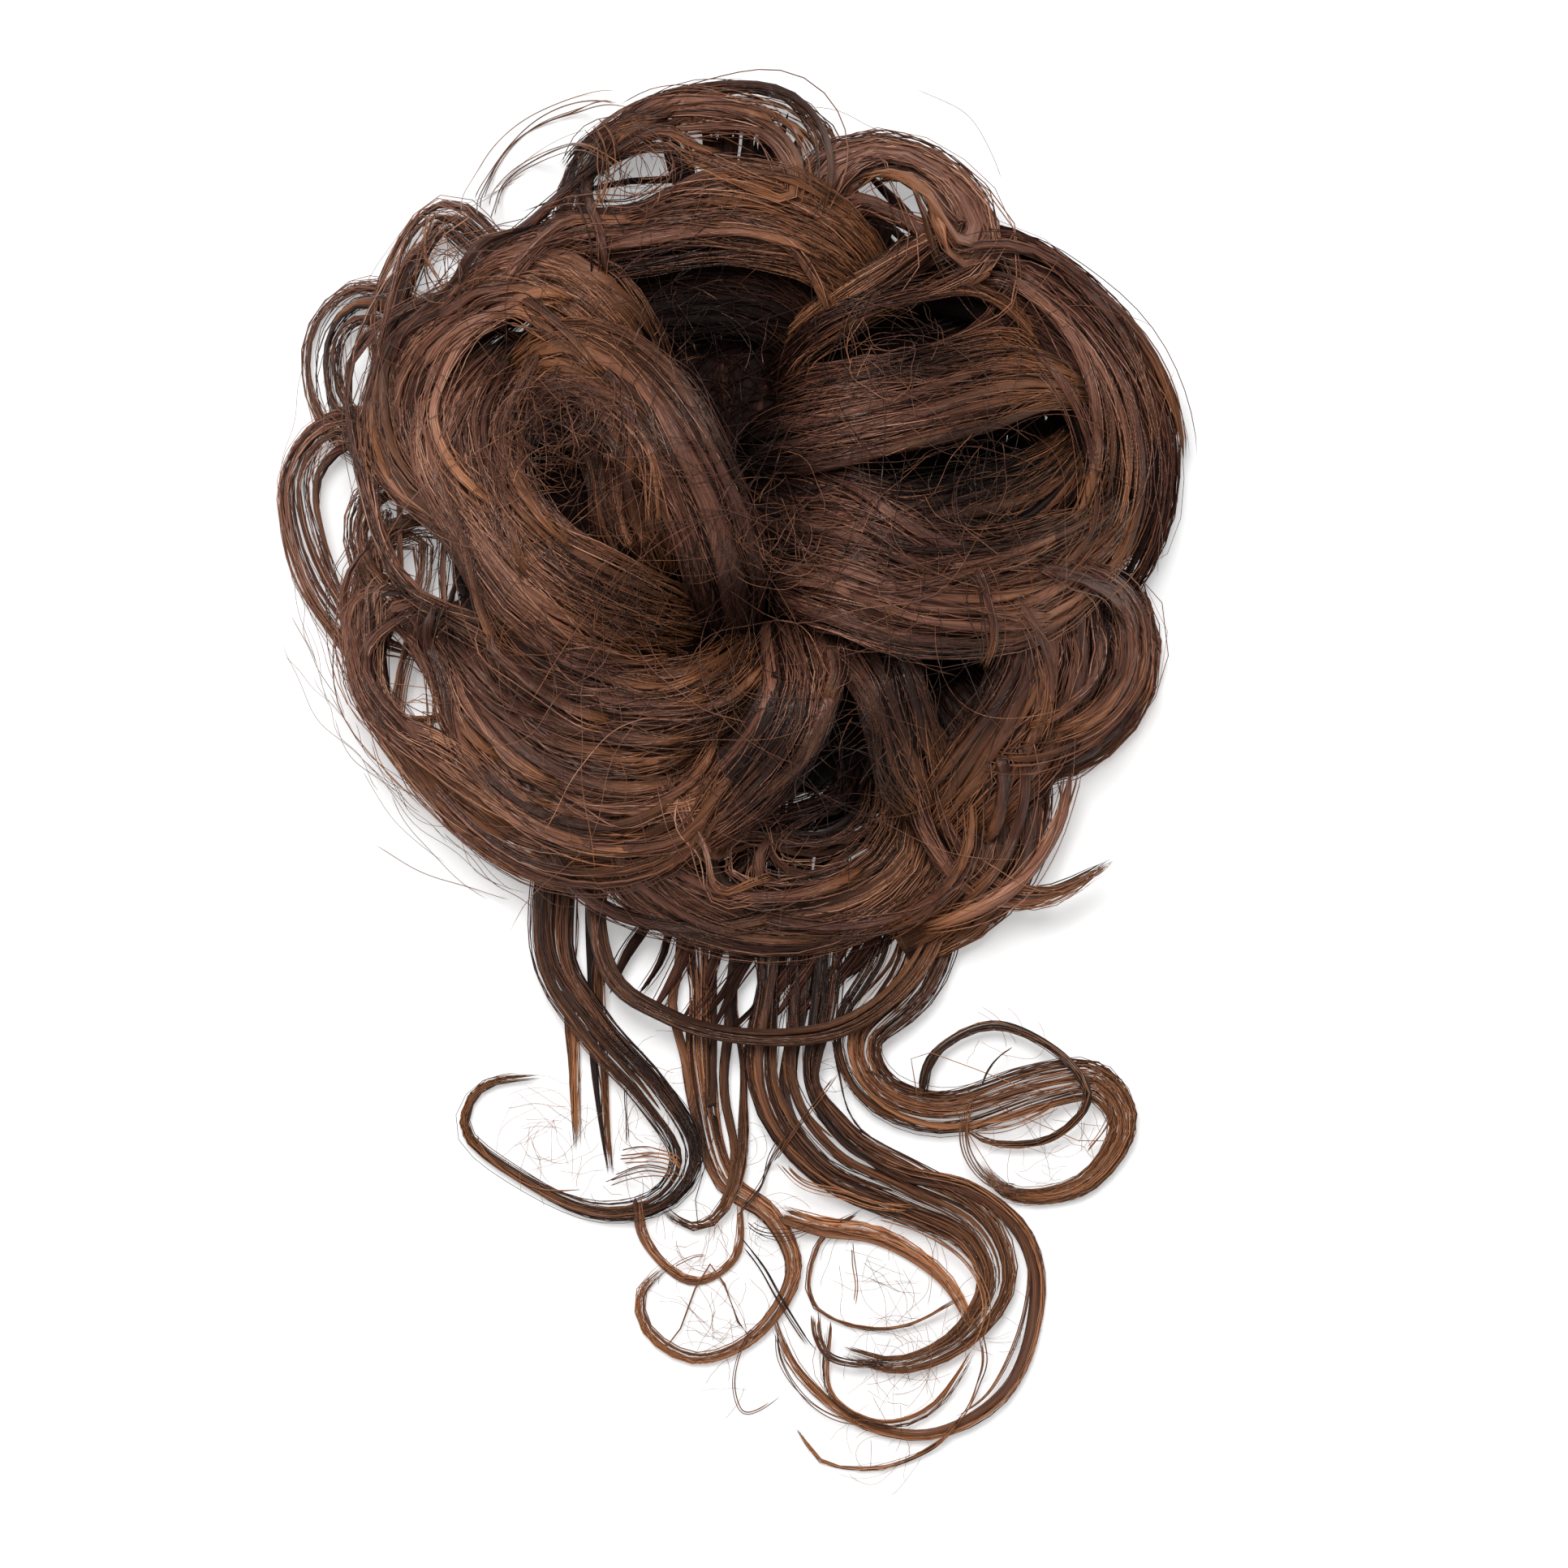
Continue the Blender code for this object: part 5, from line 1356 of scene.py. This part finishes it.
# Thin strands of a few hairs: (tone, hairs, spread in metres, places along it), each place (across, down)
THIN_STRANDS = (
    (0.50, 5, 0.0007,
     ((-0.55, -1.40), (-0.55, -1.47), (-0.50, -1.56), (-0.42, -1.62), (-0.30, -1.65), (-0.20, -1.63))),
    (0.42, 4, 0.0006, ((-0.52, -1.41), (-0.51, -1.49), (-0.44, -1.54), (-0.33, -1.55), (-0.22, -1.50))),
    (0.50, 8, 0.0008, ((-0.30, -1.60), (-0.27, -1.55), (-0.26, -1.48), (-0.29, -1.40))),
    (0.50, 7, 0.0004, ((0.67, 0.455), (0.58, 0.435), (0.53, 0.385), (0.52, 0.32), (0.55, 0.26))),
    (0.60, 2, 0.0003, ((-0.56, 0.32), (-0.56, 0.36), (-0.51, 0.41), (-0.42, 0.45), (-0.30, 0.45))),
    (0.45, 3, 0.0003, ((0.10, 0.70), (0.11, 0.78), (0.16, 0.85), (0.23, 0.89), (0.32, 0.90))),
    (0.66, 3, 0.0003, ((0.55, 0.72), (0.56, 0.79), (0.53, 0.87), (0.48, 0.92))),
    (0.16, 4, 0.0003, ((0.02, 0.54), (0.07, 0.60), (0.11, 0.66), (0.16, 0.73), (0.20, 0.77))),
    (0.14, 4, 0.0004, ((0.02, 0.50), (0.06, 0.53), (0.11, 0.535), (0.20, 0.52))),
    (0.55, 2, 0.0002,
     ((0.055, 0.71), (0.02, 0.77), (0.006, 0.83), (0.023, 0.88), (0.06, 0.878), (0.12, 0.84))),
    (0.36, 10, 0.0004, ((0.36, 0.785), (0.28, 0.787), (0.22, 0.772), (0.19, 0.73), (0.185, 0.67))),
    (0.66, 2, 0.0003, ((0.27, 0.55), (0.28, 0.63), (0.275, 0.68))),
    (0.78, 5, 0.0004, ((0.10, 0.39), (0.16, 0.44), (0.25, 0.46), (0.32, 0.48), (0.42, 0.49))),
    (0.74, 2, 0.0003, ((-0.14, 0.60), (-0.10, 0.58), (-0.05, 0.57))),
    (0.24, 4, 0.0004, ((0.01, 0.50), (0.06, 0.45), (0.09, 0.39), (0.13, 0.33))),
    (0.30, 2, 0.0002, ((-0.235, 0.24), (-0.235, 0.30), (-0.23, 0.37))),
    (0.78, 6, 0.0008, ((-0.25, 0.385), (-0.19, 0.377), (-0.13, 0.385), (-0.10, 0.41))),
    (0.46, 4, 0.0005, ((-0.28, 0.44), (-0.21, 0.418), (-0.14, 0.42), (-0.11, 0.44))),
    (0.24, 2, 0.0002, ((0.55, 0.26), (0.57, 0.22), (0.60, 0.19), (0.63, 0.17))),
    (0.26, 2, 0.0002, ((0.29, 0.21), (0.35, 0.24), (0.41, 0.26), (0.50, 0.255))),
    (0.84, 6, 0.0004, ((0.52, 0.33), (0.60, 0.325), (0.66, 0.31), (0.74, 0.27))),
    (0.55, 3, 0.0003, ((0.83, 0.27), (0.84, 0.30), (0.82, 0.34), (0.785, 0.38))),
    (0.70, 5, 0.0005, ((0.30, 0.50), (0.42, 0.53), (0.52, 0.59), (0.56, 0.67), (0.53, 0.76))),
    (0.62, 3, 0.0004, ((0.62, 0.50), (0.66, 0.60), (0.64, 0.72), (0.57, 0.84), (0.47, 0.90))),
    (0.50, 3, 0.0004, ((0.09, 0.40), (0.14, 0.33), (0.20, 0.26), (0.25, 0.20))),
)


def swirl(rng, centre, radius, count, steps, longest):
    """Short arcs that turn round a centre or across it and stay within a radius."""
    tries = 4 * count
    angle = rng.uniform(0, 2 * math.pi, tries)
    reach = radius * rng.uniform(0.05, 1.0, tries) ** 0.8
    starts = centre + reach[:, None] * np.stack([np.cos(angle), np.sin(angle)], axis=-1)
    way = rng.choice((-1, 1), tries)
    round_it = rng.random(tries) < 0.45
    round_heading = angle + way * math.pi / 2 + rng.normal(0, 0.45, tries)
    headings = np.where(round_it, round_heading, rng.uniform(0, 6.3, tries))
    bends = way / (radius * np.where(round_it, rng.uniform(0.6, 1.5, tries), rng.uniform(1.5, 4.0, tries)))
    x, y = arcs(rng, starts, headings, bends, rng.uniform(0.004, longest, tries), steps)
    inside = np.hypot(x - centre[0], y - centre[1]).max(axis=1) < radius * rng.uniform(0.8, 1.3, tries)
    return x[inside][:count], y[inside][:count]


class HAIRPIECE_OT_loose_hairs(bpy.types.Operator):
    """Lays single loose hairs over the bun and round its rim"""

    bl_idname = "hairpiece.loose_hairs"
    bl_label = "Loose Hairs"

    def execute(self, context):
        hair = context.scene.hairpiece_hair
        rng = np.random.default_rng((SEED, 5))
        relief = Relief()
        skein = Skein()
        steps = 22
        # Over the bun, most of them across its dark middle
        count = BUN_HAIRS
        across, along = (rng.normal(0, 0.30, (count, 2)) + (0.04, -0.02)).T
        bends = rng.choice((-1, 1), count) / rng.uniform(0.012, 0.05, count)
        headings = rng.uniform(0, 2 * math.pi, count)
        x, y = arcs(rng, bun_point(across, along), headings, bends, rng.uniform(0.02, 0.06, count), steps)
        kept = relief.under(x, y).min(axis=1) > 0.003
        x, y = x[kept], y[kept]
        z = relief.over(x, y, rng.uniform(-0.001, 0.001, (len(x), 1)))
        add_hairs(skein, rng, np.dstack([x, y, z]), hair.hair_radius * 0.6, 0.46, 0.17, in_bun=True)
        # Round the rim, most of them at the lower left
        count = RIM_HAIRS
        at_left = rng.random(count) < 0.6
        left_turn = rng.normal(3.75, 0.35, count)
        turn = np.where(at_left, left_turn, rng.uniform(0, 2 * math.pi, count))
        out = rng.uniform(0.90, 1.0, count)
        starts = bun_point(out * np.cos(turn), out * np.sin(turn))
        way = rng.choice((-1, 1), count)
        headings = turn + way * (math.pi / 2 + rng.normal(0, 0.14, count))
        bends = way / rng.uniform(0.055, 0.075, count)
        x, y = arcs(rng, starts, headings, bends, rng.uniform(0.012, 0.032, count), steps)
        z = np.maximum(0.0004, relief.over(x, y, 0.0) * rng.uniform(0.5, 1.0, (count, 1)))
        add_hairs(skein, rng, np.dstack([x, y, z]), hair.hair_radius * 0.5, 0.6, 0.12, limits=(0.05, 0.95))
        skein.piece("loose_bun_hairs", hair_material(LOCK_FINISH))
        return {"FINISHED"}


class HAIRPIECE_OT_fine_hairs(bpy.types.Operator):
    """Lays thin strands and a haze of fine hairs in the curls, and swirls of fine hair over the bun"""

    bl_idname = "hairpiece.fine_hairs"
    bl_label = "Fine Hairs"

    def execute(self, context):
        hair = context.scene.hairpiece_hair
        rng = np.random.default_rng((SEED, 8))
        relief = Relief()
        skein = Skein()
        for across, down, radius, count in CURL_HAIRS:
            x, y = swirl(rng, tail_point(across, down), radius, count, 12, 0.018)
            z = relief.over(x, y, 0.0) * rng.uniform(0.3, 1.0, (len(x), 1)) + 0.0002
            lines = np.dstack([x, y, z])
            add_hairs(skein, rng, lines, hair.hair_radius * 0.34, 0.72, 0.15, limits=(0.05, 0.95))
        flat = np.linspace(0, 1, 30)
        for tone, count, spread, places in THIN_STRANDS:
            points = tail_point(*np.array(places).T)
            path = smooth_path(np.column_stack([points, np.zeros(len(points))]), STRAND_SPACING)
            begin, end = rng.uniform(0.0, 0.16, (count, 1)), rng.uniform(0.84, 1.0, (count, 1))
            shares = begin * (1 - flat) + end * flat
            steps = np.linspace(0, 1, len(path))
            middles = np.stack([np.interp(shares, steps, path[:, i]) for i in (0, 1)], axis=-1)
            way = unit(np.gradient(middles, axis=1))
            side = np.stack([way[..., 1], -way[..., 0]], axis=-1)
            offset = rng.normal(0, spread, (count, 1)) + wander(rng, count, flat, (0.5, 1.1), spread * 0.5)
            x, y = np.moveaxis(middles + side * offset[..., None], -1, 0)
            z = relief.over(x, y, rng.uniform(0.0001, 0.0006, (count, 1)))
            lines = np.dstack([x, y, z])
            add_hairs(skein, rng, lines, hair.hair_radius * 1.1, tone, 0.10, limits=(0.03, 0.97))
        skein.piece("loose_curl_hairs", hair_material(TENDRIL_FINISH))
        skein = Skein()
        for across, along, radius, count, tone in BUN_SWIRLS:
            x, y = swirl(rng, bun_point(across, along), radius, count, 14, 0.020)
            z = relief.over(x, y, rng.uniform(-0.002, 0.0008, (len(x), 1)))
            add_hairs(skein, rng, np.dstack([x, y, z]), hair.hair_radius * 0.7, tone, 0.12, in_bun=True)
        skein.piece("bun_swirls", hair_material(LOCK_FINISH))
        return {"FINISHED"}


def add_softbox(power):
    """A round lamp that faces the origin."""
    light = bpy.data.lights.new("softbox", "AREA")
    light.shape = "DISK"
    light.size = SOFTBOX_SIZE
    light.energy = power
    obj = bpy.data.objects.new("softbox", light)
    bpy.context.scene.collection.objects.link(obj)
    obj.location = SOFTBOX_PLACE
    obj.rotation_euler = obj.location.to_track_quat("Z", "Y").to_euler()


class HAIRPIECE_OT_stage(bpy.types.Operator):
    """Makes the pale floor, the soft light and the camera straight above"""

    bl_idname = "hairpiece.stage"
    bl_label = "Stage"

    def execute(self, context):
        stage = context.scene.hairpiece_stage
        scene = context.scene
        mesh = bpy.data.meshes.new("floor")
        corners = [(x * FLOOR_REACH, y * FLOOR_REACH, 0) for x, y in ((-1, -1), (1, -1), (1, 1), (-1, 1))]
        mesh.from_pydata(corners, [], [(0, 1, 2, 3)])
        mesh.materials.append(Finish("floor_finish").wear({
            "Base Color": (*stage.floor_colour, 1.0), "Roughness": 0.9,
            "Emission Color": (1.0, 1.0, 1.0, 1.0), "Emission Strength": stage.floor_glow}))
        floor = bpy.data.objects.new("floor", mesh)
        scene.collection.objects.link(floor)
        floor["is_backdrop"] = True
        world = bpy.data.worlds.new("soft_sky")
        scene.world = world
        world.use_nodes = True
        sky = world.node_tree.nodes["Background"]
        sky.inputs["Color"].default_value = (1.0, 1.0, 1.0, 1.0)
        sky.inputs["Strength"].default_value = stage.sky
        add_softbox(stage.softbox)
        camera = bpy.data.cameras.new("camera")
        camera.sensor_width = SENSOR_WIDTH
        camera.lens = SENSOR_WIDTH * (stage.camera_height - PICTURE_HEIGHT) / stage.frame_width
        camera.clip_start = 0.01
        obj = bpy.data.objects.new("camera", camera)
        scene.collection.objects.link(obj)
        x, y = RING[:2] + CAMERA_OFFSET
        obj.location = (x, y, stage.camera_height)
        scene.camera = obj
        scene.view_settings.view_transform = "Standard"
        return {"FINISHED"}


class HAIRPIECE_PT_panel(bpy.types.Panel):
    """Lists the hairpiece's pieces and sizes"""

    bl_label = "Hairpiece"
    bl_idname = "HAIRPIECE_PT_panel"
    bl_space_type = "VIEW_3D"
    bl_region_type = "UI"
    bl_category = "Hairpiece"

    def draw(self, context):
        for operator in OPERATORS:
            self.layout.operator(operator.bl_idname)
        for group in ("hairpiece_hair", "hairpiece_band", "hairpiece_stage"):
            values = getattr(context.scene, group)
            for name in values.__annotations__:
                self.layout.prop(values, name)


GROUPS = (HairSettings, BandSettings, StageSettings)
OPERATORS = (
    HAIRPIECE_OT_bun_locks, HAIRPIECE_OT_tendrils, HAIRPIECE_OT_weft, HAIRPIECE_OT_band,
    HAIRPIECE_OT_crossing_wisps, HAIRPIECE_OT_under_hair, HAIRPIECE_OT_loose_hairs, HAIRPIECE_OT_fine_hairs,
    HAIRPIECE_OT_stage,
)


def register():
    for kind in (*GROUPS, *OPERATORS, HAIRPIECE_PT_panel):
        bpy.utils.register_class(kind)
    bpy.types.Scene.hairpiece_hair = PointerProperty(type=HairSettings)
    bpy.types.Scene.hairpiece_band = PointerProperty(type=BandSettings)
    bpy.types.Scene.hairpiece_stage = PointerProperty(type=StageSettings)


def unregister():
    del bpy.types.Scene.hairpiece_stage
    del bpy.types.Scene.hairpiece_band
    del bpy.types.Scene.hairpiece_hair
    for kind in reversed((*GROUPS, *OPERATORS, HAIRPIECE_PT_panel)):
        bpy.utils.unregister_class(kind)


def main():
    register()
    bpy.ops.hairpiece.bun_locks()
    bpy.ops.hairpiece.tendrils()
    bpy.ops.hairpiece.weft()
    bpy.ops.hairpiece.band()
    bpy.ops.hairpiece.crossing_wisps()
    bpy.ops.hairpiece.under_hair()
    bpy.ops.hairpiece.loose_hairs()
    bpy.ops.hairpiece.fine_hairs()
    bpy.ops.hairpiece.stage()


if __name__ == "__main__":
    main()
